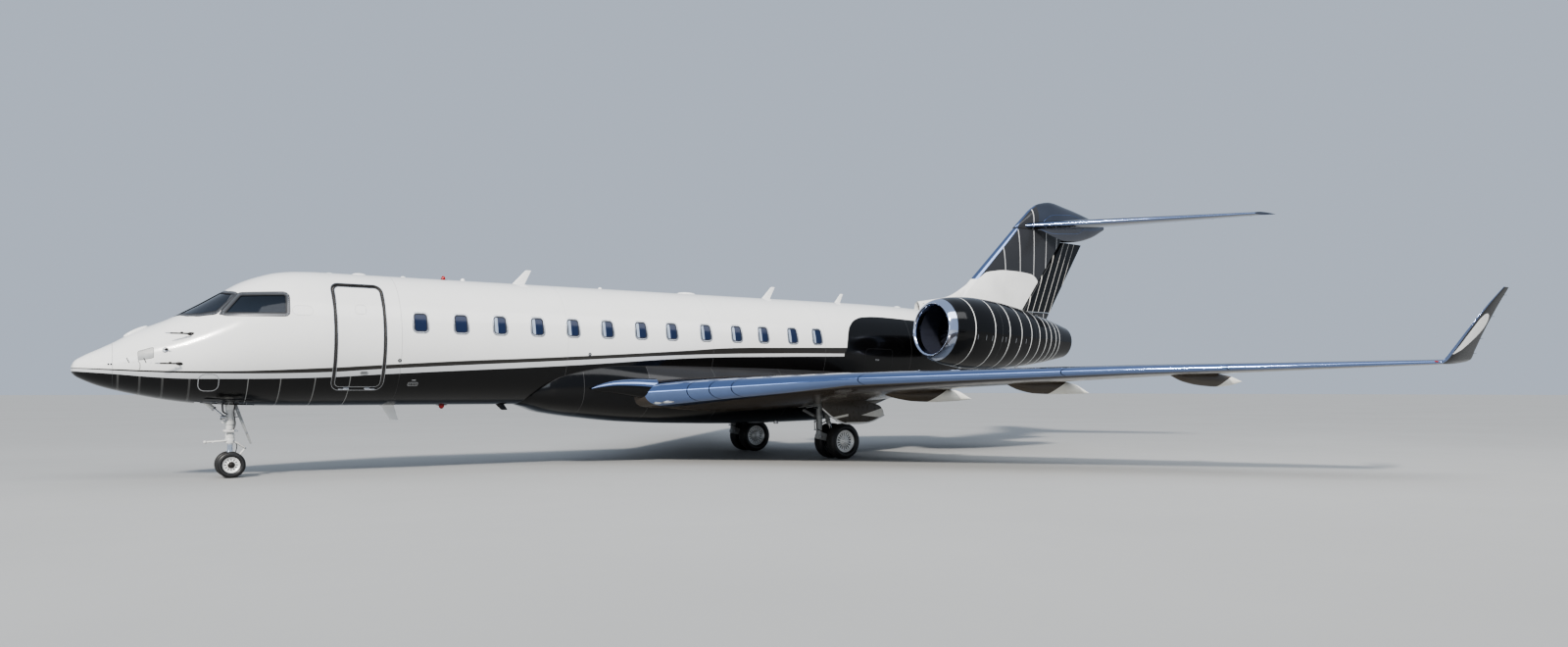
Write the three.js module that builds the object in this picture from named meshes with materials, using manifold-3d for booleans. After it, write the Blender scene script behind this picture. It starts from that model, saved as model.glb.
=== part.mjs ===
// A long-range twin-engined business jet, parked on its landing gear with its doors shut.
// Millimetres. X runs aft from the nose tip, Y to starboard, Z up from the ground that the tyres stand on.
// The last line moves the whole aircraft so that the origin is on the ground under the middle of its length.

import * as THREE from 'three';
import { mergeVertices } from 'three/addons/utils/BufferGeometryUtils.js';
import Module from 'manifold-3d';

const wasm = await Module();
wasm.setup();

// Driving dimensions
const overallLength = 30300;
const halfSpan = 14325;
const cabinRadius = 1345;
const cabinAxisHeight = 2720;
const seat = 0.3; // gap that touching pieces keep
const clearance = 8; // gap round a piece that moves
const aroundFuselage = 40;
const aroundNacelle = 28;
const aroundWheel = 24;
const aroundFairing = 28;

// Materials
const paint = (color, roughness = 0.3, metalness = 0) => new THREE.MeshStandardMaterial({ color, roughness, metalness });
const materials = {
  white: paint(0xf2f2f0, 0.2),
  black: paint(0x0b0b0d, 0.15),
  charcoal: paint(0x26262b, 0.2, 0.3),
  polished: paint(0xc9d2de, 0.08, 1),
  wingPaint: paint(0x3b3733, 0.25, 0.4),
  steel: paint(0x8d9095, 0.35, 1),
  gearWhite: paint(0xe4e4e0, 0.4),
  rubber: paint(0x151515, 0.85),
  glass: paint(0x27313a, 0.05, 0.1),
  trim: paint(0x2c2c2e, 0.7),
  leather: paint(0xb9ad9a, 0.6),
  fanBlade: paint(0x4a4d52, 0.3, 1),
};

// Solids and booleans

const bare = (geometry) => {
  const copy = geometry.clone();
  for (const name of Object.keys(copy.attributes)) if (name !== 'position') copy.deleteAttribute(name);
  return mergeVertices(copy, 1e-3);
};

// The same geometry with its faces pointing out, judged by the sign of its volume.
function outward(geometry) {
  const merged = bare(geometry);
  const { array } = merged.attributes.position;
  const index = merged.index.array;
  const corner = (i) => new THREE.Vector3().fromArray(array, index[i] * 3);
  let volume = 0;
  for (let i = 0; i < index.length; i += 3) volume += corner(i).dot(corner(i + 1).cross(corner(i + 2)));
  if (volume < 0) index.reverse();
  return merged;
}

function toSolid(geometry) {
  const merged = outward(geometry);
  const vertProperties = new Float32Array(merged.attributes.position.array);
  const triVerts = new Uint32Array(merged.index.array);
  return new wasm.Manifold(new wasm.Mesh({ numProp: 3, vertProperties, triVerts }));
}

function toGeometry(solid) {
  const mesh = solid.getMesh();
  const geometry = new THREE.BufferGeometry();
  geometry.setAttribute('position', new THREE.BufferAttribute(new Float32Array(mesh.vertProperties), 3));
  geometry.setIndex(new THREE.BufferAttribute(new Uint32Array(mesh.triVerts), 1));
  return geometry;
}

const cut = (body, ...tools) => toGeometry(tools.reduce((rest, tool) => rest.subtract(toSolid(tool)), toSolid(body)));
const join = (body, ...others) => toGeometry(others.reduce((sum, other) => sum.add(toSolid(other)), toSolid(body)));
const meet = (body, other) => toGeometry(toSolid(body).intersect(toSolid(other)));

const mirrored = (geometry) => outward(geometry.clone().scale(1, -1, 1));

// A box between two corners.
function box(x0, x1, y0, y1, z0, z1) {
  const geometry = new THREE.BoxGeometry(x1 - x0, y1 - y0, z1 - z0);
  return geometry.translate((x0 + x1) / 2, (y0 + y1) / 2, (z0 + z1) / 2);
}

// A round bar from one point to another.
function rod(from, to, radius, endRadius = radius, sides = 10) {
  const start = new THREE.Vector3(...from);
  const along = new THREE.Vector3(...to).sub(start);
  const geometry = new THREE.CylinderGeometry(endRadius, radius, along.length(), sides);
  geometry.translate(0, along.length() / 2, 0);
  const turn = new THREE.Quaternion().setFromUnitVectors(new THREE.Vector3(0, 1, 0), along.clone().normalize());
  return geometry.applyQuaternion(turn).translate(...from);
}

// An outline of [x, z] points pushed along Y, or of [x, y] points pushed along Z.
function plate(outline, low, high, axis = 'y') {
  const shape = new THREE.Shape(outline.map(([a, b]) => new THREE.Vector2(a, b)));
  const geometry = new THREE.ExtrudeGeometry(shape, { depth: high - low, bevelEnabled: false });
  if (axis === 'z') return geometry.translate(0, 0, low);
  return geometry.rotateX(Math.PI / 2).translate(0, high, 0);
}

// A rectangle with round corners, as an outline.
function roundedOutline(x0, x1, z0, z1, radius, steps = 4) {
  const corners = [[x1 - radius, z1 - radius, 0], [x0 + radius, z1 - radius, 90], [x0 + radius, z0 + radius, 180], [x1 - radius, z0 + radius, 270]];
  const points = [];
  for (const [x, z, start] of corners)
    for (let i = 0; i <= steps; i++) {
      const angle = THREE.MathUtils.degToRad(start + (90 * i) / steps);
      points.push([x + radius * Math.cos(angle), z + radius * Math.sin(angle)]);
    }
  return points;
}

// A closed profile of [along, radius] points turned about the X or Y axis.
function turned(profile, sides, axis = 'x') {
  const points = profile.map(([along, radius]) => new THREE.Vector2(radius, along));
  if (profile[0][1] > 0 || profile.at(-1)[1] > 0) points.push(points[0].clone());
  const geometry = new THREE.LatheGeometry(points, sides);
  return outward(axis === 'x' ? geometry.rotateZ(-Math.PI / 2) : geometry);
}

// A closed skin through rings of points, each end closed from its middle.
function loft(rings) {
  const count = rings[0].length;
  const points = rings.flat();
  const middle = (ring) => ring.reduce((sum, p) => sum.add(p), new THREE.Vector3()).divideScalar(count);
  points.push(middle(rings[0]), middle(rings.at(-1)));
  const last = (rings.length - 1) * count;
  const triangles = [];
  for (let i = 0; i < count; i++) {
    const next = (i + 1) % count;
    for (let row = 0; row < last; row += count)
      triangles.push(row + i, row + next, row + count + next, row + i, row + count + next, row + count + i);
    triangles.push(points.length - 2, next, i, points.length - 1, last + i, last + next);
  }
  const geometry = new THREE.BufferGeometry();
  geometry.setAttribute('position', new THREE.Float32BufferAttribute(points.flatMap((p) => p.toArray()), 3));
  geometry.setIndex(triangles);
  return outward(geometry);
}

const between = (table, column, x) => {
  const found = table.findIndex((row) => row[0] >= x);
  const i = found === -1 ? table.length - 1 : Math.max(1, found);
  const [low, high] = [table[i - 1], table[i]];
  return THREE.MathUtils.mapLinear(x, low[0], high[0], low[column], high[column]);
};

const aircraft = new THREE.Group();

function addPiece(name, geometry, material, group = aircraft) {
  const mesh = new THREE.Mesh(outward(geometry), material);
  mesh.name = name;
  group.add(mesh);
}

const sides = [
  { name: 'port', sign: -1 },
  { name: 'starboard', sign: 1 },
];

// A piece drawn on the starboard side, and its mirror image to port, each cut back from its neighbours there.
function addPair(name, starboardGeometry, material, neighbours = []) {
  addPiece(`${name}_port`, cut(mirrored(starboardGeometry), ...neighbours), material);
  addPiece(`${name}_starboard`, cut(starboardGeometry, ...neighbours), material);
}

// Fuselage: x, crown height, keel height, half width
const fuselageSections = [
  [0, 2090, 2040, 25],
  [40, 2200, 1965, 130],
  [190, 2315, 1868, 265],
  [420, 2440, 1765, 415],
  [620, 2552, 1702, 520],
  [1000, 2785, 1605, 700],
  [1500, 3020, 1503, 890],
  [1950, 3285, 1440, 1025],
  [2400, 3578, 1408, 1130],
  [2700, 3770, 1396, 1190],
  [3000, 3900, 1388, 1240],
  [3350, 4005, 1382, 1287],
  [3700, 4050, 1378, 1325],
  [4100, cabinAxisHeight + cabinRadius, cabinAxisHeight - cabinRadius, cabinRadius],
  [17400, cabinAxisHeight + cabinRadius, cabinAxisHeight - cabinRadius, cabinRadius],
  [18800, 4050, 1470, 1315],
  [20200, 4000, 1730, 1215],
  [21800, 3915, 2130, 1000],
  [23400, 3815, 2520, 730],
  [25000, 3700, 2890, 425],
  [26000, 3610, 3120, 225],
  [26300, 3540, 3250, 120],
];

function fuselageSkin(inset = 0, around = aroundFuselage) {
  const rings = fuselageSections
    .filter(([, , , halfWidth]) => halfWidth > inset + 20)
    .map(([x, crown, keel, halfWidth]) =>
      Array.from({ length: around }, (_, i) => {
        const angle = (2 * Math.PI * i) / around;
        const y = (halfWidth - inset) * Math.cos(angle);
        const z = (crown + keel) / 2 + ((crown - keel) / 2 - inset) * Math.sin(angle);
        return new THREE.Vector3(x, y, z);
      }),
    );
  return loft(rings);
}

const skin = fuselageSkin();
const skinWithSeat = fuselageSkin(-seat);
const wholeSide = 2000; // beyond the fuselage to either side
const slice = (geometry, x0, x1) => meet(geometry, box(x0, x1, -wholeSide, wholeSide, 0, 5000));

// Fuselage joints, as x
const radomeJoint = 620;
const frontJoint = 5450;
const tailJoint = 18800;

// Cockpit and entry
const wallThickness = 80;
const cockpit = { front: 1440, rear: 3760, floor: 1950 };
const entry = { front: 3840, rear: 5330, floor: 1740 };
const aisle = { halfWidth: 330, top: 3750 };
const doorway = { x0: 4215, x1: 5135, z0: 1720, z1: 3770, corner: 130 };
const noseBay = { x0: 1930, x1: 2950, halfWidth: 230, roof: 1800 };

// Windscreen in plan, [x, y], and side window from the side, [x, z], on the starboard half
const windscreenOutline = [[1625, 45], [1830, 520], [2010, 700], [2270, 870], [2660, 715], [2440, 380], [2375, 45]];
const sideWindowOutline = [[2400, 3075], [3430, 3075], [3450, 3530], [3400, 3560], [2790, 3500]];
const paneInset = { outer: 6, inner: 30 };

// The outline moved in towards its middle.
function shrunk(outline, distance) {
  const middle = outline.reduce(([a, b], [c, d]) => [a + c / outline.length, b + d / outline.length], [0, 0]);
  return outline.map(([a, b]) => {
    const length = Math.hypot(a - middle[0], b - middle[1]);
    return [a - ((a - middle[0]) / length) * distance, b - ((b - middle[1]) / length) * distance];
  });
}

const windscreenPrism = (inset = 0) => plate(shrunk(windscreenOutline, inset), 2800, 4200, 'z');
const sideWindowPrism = (inset = 0) => plate(shrunk(sideWindowOutline, inset), 500, wholeSide);

function addFuselage() {
  addPiece('nose_radome', slice(skin, -10, radomeJoint - seat / 2), materials.white);

  const inside = fuselageSkin(wallThickness, aroundFuselage / 2);
  const room = join(
    meet(inside, box(cockpit.front, cockpit.rear, -wholeSide, wholeSide, cockpit.floor, 5000)),
    meet(inside, box(entry.front, entry.rear, -wholeSide, wholeSide, entry.floor, 5000)),
    box(cockpit.rear - 50, entry.front + 50, -aisle.halfWidth, aisle.halfWidth, cockpit.floor, aisle.top),
  );
  const { x0, x1, z0, z1, corner } = doorway;
  const doorHole = plate(roundedOutline(x0, x1, z0, z1, corner), -wholeSide, -450);
  const { x, face, depth, radius } = noseJackPad;
  const front = cut(
    join(
      slice(skin, radomeJoint + seat / 2, frontJoint - seat / 2),
      rod([x, 0, face], [x, 0, face + depth], radius),
      ...doorKnuckles(1),
    ),
    room,
    doorHole,
    windscreenPrism(),
    mirrored(windscreenPrism()),
    sideWindowPrism(),
    mirrored(sideWindowPrism()),
    box(noseBay.x0, noseBay.x1, -noseBay.halfWidth, noseBay.halfWidth, 1000, noseBay.roof),
  );
  addPiece('fuselage_front', front, materials.white);

  const paneShell = cut(fuselageSkin(paneInset.outer), fuselageSkin(paneInset.inner));
  addPair('windscreen', meet(paneShell, windscreenPrism(seat * 2)), materials.glass);
  addPair('side_window', meet(paneShell, sideWindowPrism(seat * 2)), materials.glass);

  // Blade aerials: x of the leading foot, chord, height, sweep, and whether it stands on the crown or the keel
  const aerials = [
    [8150, 290, 330, 170, 'crown'],
    [14800, 260, 320, 170, 'crown'],
    [17160, 190, 260, 120, 'crown'],
    [7770, 230, 150, 80, 'keel'],
  ];
  let mid = slice(skin, frontJoint + seat / 2, tailJoint - seat / 2);
  for (const [x, chord, height, sweep, where] of aerials) {
    const up = where === 'crown' ? 1 : -1;
    const foot = cabinAxisHeight + up * (cabinRadius - 40);
    const tip = cabinAxisHeight + up * (cabinRadius + height);
    const blade = plate([[x, foot], [x + chord, foot], [x + chord + sweep, tip], [x + chord / 2 + sweep, tip]], -12, 12);
    mid = join(mid, blade);
  }
  addPiece('fuselage_cabin', mid, materials.white);
  addPiece('tail_cone', slice(skin, tailJoint + seat / 2, overallLength), materials.black);
}

// Passenger door with built-in steps, hinged along its sill
const doorHinge = { y: -925, z: 1705, radius: 16 };
const doorPanelThickness = 70;
const doorTopGap = 22;
const doorOpenAngle = 125; // degrees, where the treads come level

// Hinge knuckles under the sill, two on the door and two beside them on the fuselage, each with the lug that carries it.
function doorKnuckles(on) {
  const { y, z, radius } = doorHinge;
  const lug = on ? { y: y + 55, low: z - 14, high: z + 8 } : { y: y + 20, low: z - 5, high: z + 42 };
  const pairs = [[[4430 + seat, 4530], [4820, 4920 - seat]], [[4330, 4430], [4920, 5020]]][on];
  return pairs.map(([x0, x1]) => join(rod([x0, y, z], [x1, y, z], radius), box(x0, x1, y, lug.y, lug.low, lug.high)));
}

function addPassengerDoor() {
  const { x0, x1, z0, z1, corner } = doorway;
  const outline = roundedOutline(x0 + clearance, x1 - clearance, z0 + clearance, z1 - doorTopGap, corner - clearance);
  const shell = cut(skin, fuselageSkin(doorPanelThickness));
  const panel = meet(shell, plate(outline, -wholeSide, -500));
  // Each tread is drawn level with the door open, then swung back with it.
  const treads = Array.from({ length: 5 }, (_, i) => {
    const along = 420 + i * 330;
    const tread = box(x0 + 130, x1 - 130, -290, 0, -15, 15);
    const open = THREE.MathUtils.degToRad(doorOpenAngle);
    tread.rotateX(-open);
    const radius = cabinRadius - doorPanelThickness + 8;
    const z = doorHinge.z + along;
    const y = -Math.sqrt(radius ** 2 - (z - cabinAxisHeight) ** 2);
    return tread.translate(0, y, z);
  });
  const steps = treads.map((tread) => meet(tread, fuselageSkin(doorPanelThickness - 30)));
  addPiece('passenger_door', join(panel, ...steps, ...doorKnuckles(0)), materials.white);
}

// Flight deck, seen through the windscreen
function addFlightDeck() {
  const { floor } = cockpit;
  const room = fuselageSkin(wallThickness + 30);
  const panel = meet(room, box(1700, 1960, -820, 820, floor + seat, 2900));
  const hood = meet(room, box(1640, 2080, -760, 760, 2860, 2935));
  const pedestal = box(1900, 2750, -150, 150, floor + seat, 2450);
  addPiece('instrument_panel', join(panel, hood, pedestal), materials.trim);

  for (const { name, sign } of sides) {
    const seatGroup = new THREE.Group();
    seatGroup.position.set(2750, sign * 530, floor + seat);
    const pan = box(-260, 260, -250, 250, 300, 430);
    const foot = box(-150, 150, -130, 130, 0, 310);
    const back = box(180, 300, -240, 240, 380, 1010).applyMatrix4(new THREE.Matrix4().makeShear(0, 0, 0, 0, 0.14, 0));
    const head = box(330, 420, -130, 130, 1000, 1190);
    addPiece(`pilot_seat_${name}`, join(pan, foot, back, head), materials.leather, seatGroup);
    aircraft.add(seatGroup);
  }
}

// Belly fairing that carries the wing roots: x, bottom, half width, height of the widest line, rise above that line
const fairingSections = [
  [8150, 1366, 700, 1600, 300],
  [8800, 1180, 1130, 1740, 900],
  [9770, 1040, 1350, 1790, 975],
  [10750, 945, 1490, 1730, 950],
  [12050, 888, 1620, 1620, 985],
  [14000, 853, 1680, 1550, 1000],
  [16000, 880, 1660, 1530, 950],
  [17400, 1130, 1520, 1620, 850],
  [18500, 1430, 1130, 1760, 600],
  [19300, 1640, 560, 1900, 400],
];

// Pads that jacks bear on, with a flat lower face
const mainJackPads = { x: 14800, y: 700, face: 840, depth: 150, radius: 60 };
const noseJackPad = { x: 1300, face: 1510, depth: 120, radius: 50 };

function fairingSkin(outset = 0) {
  const rings = fairingSections.map(([x, bottom, halfWidth, waist, rise]) =>
    Array.from({ length: aroundFairing }, (_, i) => {
      const angle = (2 * Math.PI * i) / aroundFairing;
      const [c, s] = [Math.cos(angle), Math.sin(angle)];
      const squared = s < 0 ? 0.8 : 1; // fuller corners below the waist
      const y = (halfWidth + outset) * Math.sign(c) * Math.abs(c) ** squared;
      const z = s < 0 ? waist - (waist - bottom + outset) * Math.abs(s) ** squared : waist + (rise + outset) * s;
      return new THREE.Vector3(x, y, z);
    }),
  );
  return loft(rings);
}

function addFairing() {
  const { x, y, face, depth, radius } = mainJackPads;
  const pads = [-y, y].map((side) => rod([x, side, face], [x, side, face + depth], radius));
  addPiece('belly_fairing', cut(join(fairingSkin(), ...pads), skinWithSeat), materials.black);
}

// Aerofoil as [chord fraction, height over chord] pairs, round the section from the trailing edge
function aerofoil(thickness, steps = 9) {
  const half = (x) => 5 * thickness * (0.2969 * Math.sqrt(x) - 0.126 * x - 0.3516 * x ** 2 + 0.2843 * x ** 3 - 0.1 * x ** 4);
  const fractions = Array.from({ length: steps + 1 }, (_, i) => (1 - Math.cos((Math.PI * i) / steps)) / 2);
  const upper = fractions.slice(1).reverse().map((x) => [x, half(x)]);
  const lower = fractions.slice(1).map((x) => [x, -half(x) * 0.85]);
  return [...upper, [0, 0], ...lower];
}

// One aerofoil ring. lift turns the section's thickness from +Z towards inboard: 0 on a wing, 90 on a fin.
function aerofoilRing({ leading, trailing, thickness, lift = 0 }) {
  const start = new THREE.Vector3(...leading);
  const chord = new THREE.Vector3(...trailing).sub(start);
  const angle = THREE.MathUtils.degToRad(lift);
  const up = new THREE.Vector3(0, -Math.sin(angle), Math.cos(angle));
  const size = chord.length();
  return aerofoil(thickness).map(([x, h]) => start.clone().addScaledVector(chord, x).addScaledVector(up, h * size));
}

// Wing: y, leading edge x and z, trailing edge x and z, thickness over chord
const wingStations = [
  [1250, 10310, 1590, 17230, 1400, 0.125],
  [5000, 13560, 1900, 17600, 1800, 0.11],
  [9300, 17285, 2085, 19850, 2060, 0.1],
  [13600, 21000, 2210, 22020, 2235, 0.095],
];
const wingAt = (y, fraction, height = 0) => {
  const [x0, z0, x1, z1] = [1, 2, 3, 4].map((column) => between(wingStations, column, y));
  return [x0 + (x1 - x0) * fraction, y, z0 + (z1 - z0) * fraction + height];
};
const slatChord = 0.12;
const flapChord = 0.74;
const flapEnds = { inboardRoot: 1900, kink: 5000, outboardTip: 10150 };
const aileronEnds = { root: 10300, tip: 13350 };
// A wing-like solid through stations of y, leading edge x and z, trailing edge x and z, thickness over chord.
const wingLoft = (stations, outset = 0) =>
  loft(
    stations.map(([y, x0, z0, x1, z1, thickness]) =>
      aerofoilRing({
        leading: [x0 - outset, y, z0],
        trailing: [x1 + outset, y, z1],
        thickness: thickness + (4 * outset) / (x1 - x0),
      }),
    ),
  );
const splitChord = 0.0003; // gap along the chord between fixed parts of a wing
const controlGap = { inner: 30, outer: 30, rudder: 45 }; // at the ends of a hinged surface, which swing past their walls
const hingePin = { radius: 9, inside: 120 };

// The part of a wing-like surface between two chord fractions and two span stations, as a standing prism.
function chordBand(at, from, to, y0, y1) {
  const middle = y0 < flapEnds.kink && y1 > flapEnds.kink ? [flapEnds.kink] : [];
  const stations = [y0, ...middle, y1];
  const edge = (fraction) => stations.map((y) => at(y, fraction).slice(0, 2));
  return plate([...edge(from), ...edge(to).reverse()], 0, 9000, 'z');
}

// A hinged surface's room: all that lies aft of its hinge line, and a tapered bar along that line for its nose.
function hingedRoom({ at, hinge, radiusAt, slab }, low, high, extra = 0) {
  const [from, to] = [low - 300, high + 300];
  const bar = rod(at(from, hinge), at(to, hinge), radiusAt(from) + extra, radiusAt(to) + extra, 20);
  const [a, b, c, d] = [at(from, hinge), at(to, hinge), at(to, 1.3), at(from, 1.3)];
  const flat = slab === 'z' ? ([x, , z]) => [x, z] : ([x, y]) => [x, y];
  const aft = plate([a, b, c, d].map(flat), slab === 'z' ? -500 : 0, slab === 'z' ? 500 : 9000, slab === 'z' ? 'y' : 'z');
  const ends = slab === 'z' ? box(0, 40000, -500, 500, low, high) : box(0, 40000, low, high, 0, 9000);
  return meet(join(aft, bar), ends);
}

// Pins on the hinge line of such a surface, from inside it to just short of the room's ends.
function hingePins({ at, hinge, slab }, low, high, ends) {
  const axis = slab === 'z' ? 2 : 1;
  const [bottom, top] = [low, high].map((place) => new THREE.Vector3(...at(place, hinge)));
  const along = top.clone().sub(bottom).normalize();
  const slope = along.getComponent(axis);
  const reach = hingePin.radius * Math.sqrt(1 - slope ** 2) + seat; // from the pin's middle to its rim, and the seat
  const pin = (start, wall, sign) => {
    const outside = Math.abs(wall - start.getComponent(axis)) - reach;
    const [from, to] = [-hingePin.inside, outside].map((d) => start.clone().addScaledVector(along, (sign * d) / slope));
    return rod(from.toArray(), to.toArray(), hingePin.radius);
  };
  return ends.map(([wall, sign]) => pin(sign < 0 ? bottom : top, wall, sign));
}

const flapTracks = [
  { y: 4200, x0: 15900, x1: 18150, z: 1560, width: 230, depth: 300 },
  { y: 6900, x0: 17150, x1: 19300, z: 1800, width: 210, depth: 270 },
  { y: 9700, x0: 18900, x1: 20850, z: 1950, width: 190, depth: 240 },
];

function flapTrackFairing({ y, x0, x1, z, width, depth }, outset = 0) {
  // along, half width and half depth as fractions
  const shape = [[0, 0.06], [0.12, 0.55], [0.35, 0.95], [0.55, 1], [0.78, 0.72], [1, 0.08]];
  const rings = shape.map(([along, size]) =>
    Array.from({ length: 8 }, (_, i) => {
      const angle = (2 * Math.PI * i) / 8;
      const dy = ((width / 2) * size + outset) * Math.cos(angle);
      const dz = ((depth / 2) * size + outset) * Math.sin(angle);
      return new THREE.Vector3(x0 + (x1 - x0) * along, y + dy, z + (x1 - x0) * along * 0.05 + dz);
    }),
  );
  return loft(rings);
}

const aileronHinge = 0.76;
const aileronRadius = (y) => (between(wingStations, 3, y) - between(wingStations, 1, y)) * 0.0262;

function addWings() {
  const wing = wingLoft(wingStations);
  const neighbours = [fairingSkin(seat), skinWithSeat];
  const root = 1300;
  const tip = wingStations.at(-1)[0];
  const tracks = flapTracks.map((track) => flapTrackFairing(track));
  const tracksWithSeat = flapTracks.map((track) => flapTrackFairing(track, 2));

  const slats = meet(wing, chordBand(wingAt, -0.3, slatChord, root, tip));
  const { inboardRoot, kink, outboardTip } = flapEnds;
  const inboardFlap = meet(wing, chordBand(wingAt, flapChord, 1.1, inboardRoot, kink - 5));
  const outboardFlap = meet(wing, chordBand(wingAt, flapChord, 1.1, kink + 5, outboardTip));

  const { root: y0, tip: y1 } = aileronEnds;
  const place = { at: wingAt, hinge: aileronHinge, radiusAt: aileronRadius, slab: 'y' };
  const pins = hingePins(place, y0, y1, [[y0 - controlGap.inner, -1], [y1 + controlGap.outer, 1]]);
  const aileron = join(meet(wing, hingedRoom(place, y0, y1)), ...pins);
  const aft = [
    chordBand(wingAt, flapChord - splitChord, 1.1, inboardRoot - 5, outboardTip + 5),
    hingedRoom(place, y0 - controlGap.inner, y1 + controlGap.outer, clearance),
    chordBand(wingAt, -0.3, slatChord + splitChord, root - 100, tip + 100),
  ];
  const fixed = join(cut(wing, ...aft), ...tracks);

  addPair('wing', fixed, materials.wingPaint, neighbours);
  addPair('slats', slats, materials.polished, neighbours);
  addPair('flap_inboard', cut(inboardFlap, ...tracksWithSeat), materials.wingPaint, neighbours);
  addPair('flap_outboard', cut(outboardFlap, ...tracksWithSeat), materials.wingPaint);
  addPair('aileron', aileron, materials.wingPaint);
}

// Winglet: y, z, leading edge x, trailing edge x, cant in degrees, thickness over chord
const wingletStations = [
  [13600, 2210, 21000, 22020, 0, 0.095],
  [13655, 2280, 21060, 22070, 38, 0.09],
  [13740, 2450, 21145, 22030, 62, 0.085],
  [13905, 2800, 21330, 22000, 70, 0.08],
  [14110, 3240, 21600, 22030, 72, 0.08],
  [halfSpan - 7, 3590, 21790, 22000, 72, 0.08],
];

function addWinglets() {
  const rings = wingletStations.map(([y, z, x0, x1, lift, thickness], i) => {
    const offset = i === 0 ? seat : 0;
    return aerofoilRing({ leading: [x0, y + offset, z], trailing: [x1, y + offset, z + (i === 0 ? 25 : 0)], thickness, lift });
  });
  addPair('winglet', loft(rings), materials.black);
}

// Engines, in their own frame: X aft from the intake lip, the shaft along X
const engine = { x: 18240, y: 2700, z: 3250, pitch: 2.5 };
const ductRadius = 613;
const nozzle = { length: 4860, radius: 440 };
const cowlOutside = [[200, 800], [550, 875], [1300, 935], [2040, 907], [2700, 840], [3350, 747], [4000, 630], [nozzle.length, nozzle.radius]];
const cowlInside = [[nozzle.length, nozzle.radius - 12], [3300, ductRadius], [200, ductRadius]];
const lipProfile = [[200, 800], [110, 765], [40, 722], [0, 678], [25, 640], [90, 618], [200, ductRadius]];
const fanPlace = 900;
const fanRadius = ductRadius - 14;
const fanBlades = { count: 12, chord: 190, thickness: 16, pitch: 38, hubRadius: 190 };
const corePlace = 1150;
const coreProfile = [[corePlace, 0], [corePlace, ductRadius - seat], [3250, ductRadius - seat], [3300, 470], [3900, 330], [4400, 90], [4430, 0]];

const cowlSkin = (outset = 0) => turned([[0, 0], [0, 700 + outset], ...cowlOutside.map(([x, r]) => [x, r + outset]), [nozzle.length, 0]], aroundNacelle);

function fanWheel() {
  const { count, chord, thickness, pitch, hubRadius } = fanBlades;
  const shaftEnd = corePlace - fanPlace - seat;
  const hub = turned([[-330, 0], [-200, 110], [-60, 175], [60, hubRadius], [160, hubRadius], [160, 70], [shaftEnd, 70], [shaftEnd, 0]], 20);
  const tip = Math.sqrt(fanRadius ** 2 - (chord / 2) ** 2);
  const root = hubRadius * 0.8;
  const blades = Array.from({ length: count }, (_, i) => {
    const blade = new THREE.BoxGeometry(chord, thickness, tip - root);
    blade.translate(0, 0, (tip + root) / 2);
    blade.rotateZ(THREE.MathUtils.degToRad(pitch));
    return blade.rotateX((2 * Math.PI * i) / count);
  });
  return join(hub, ...blades);
}

function addEngines() {
  const fan = fanWheel();
  for (const { name, sign } of sides) {
    const group = new THREE.Group();
    group.position.set(engine.x, sign * engine.y, engine.z);
    group.rotation.y = THREE.MathUtils.degToRad(engine.pitch);
    const lip = lipProfile.map(([x, r]) => [x === 200 ? x - seat : x, r]);
    addPiece(`intake_lip_${name}`, turned(lip, aroundNacelle), materials.polished, group);
    addPiece(`nacelle_${name}`, turned([...cowlOutside, ...cowlInside], aroundNacelle), materials.black, group);
    addPiece(`engine_core_${name}`, turned(coreProfile, aroundNacelle), materials.steel, group);
    const fanGroup = new THREE.Group();
    fanGroup.position.x = fanPlace;
    addPiece(`fan_${name}`, fan, materials.fanBlade, fanGroup);
    group.add(fanGroup);
    aircraft.add(group);
  }
  const placedCowl = cowlSkin(seat).rotateY(THREE.MathUtils.degToRad(engine.pitch)).translate(engine.x, engine.y, engine.z);
  const pylon = loft([
    aerofoilRing({ leading: [19000, 700, 3300], trailing: [23300, 700, 3080], thickness: 0.085 }),
    aerofoilRing({ leading: [19300, 2300, 3230], trailing: [22900, 2300, 3040], thickness: 0.085 }),
  ]);
  addPair('pylon', pylon, materials.black, [skinWithSeat, placedCowl, mirrored(placedCowl)]);
}

// Fin: z, leading edge x, trailing edge x, thickness over chord
const finStations = [
  [3600, 20758, 25338, 0.1],
  [7000, 24420, 27600, 0.1],
];
const finAt = (z, fraction) => {
  const [x0, x1] = [1, 2].map((column) => between(finStations, column, z));
  return [x0 + (x1 - x0) * fraction, 0, z];
};
const rudderHinge = 0.72;
const rudderEnds = { root: 4150, tip: 6405 };
const rudderRadius = (z) => (finAt(z, 1)[0] - finAt(z, 0)[0]) * 0.0295;

// Dorsal fairing ahead of the fin, with its air inlet: x, crown, half width
const dorsalSections = [
  [20150, 4245, 118],
  [21300, 4440, 135],
  [21965, 4765, 130],
  [22700, 5300, 100],
];
const dorsalFoot = 3800;

// Tailplane: y, leading edge x and z, trailing edge x and z, thickness over chord
const tailplaneStations = [
  [0, 24400, 6800, 27960, 7050, 0.085],
  [4850, 29200, 6975, 30300, 7045, 0.085],
];
const tailplaneAt = (y, fraction) => {
  const [x0, z0, x1, z1] = [1, 2, 3, 4].map((column) => between(tailplaneStations, column, y));
  return [x0 + (x1 - x0) * fraction, y, z0 + (z1 - z0) * fraction];
};
const elevatorHinge = 0.7;
const elevatorEnds = { root: 420, tip: 4620 };
const elevatorRadius = (y) => (tailplaneAt(y, 1)[0] - tailplaneAt(y, 0)[0]) * 0.0265;

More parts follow.
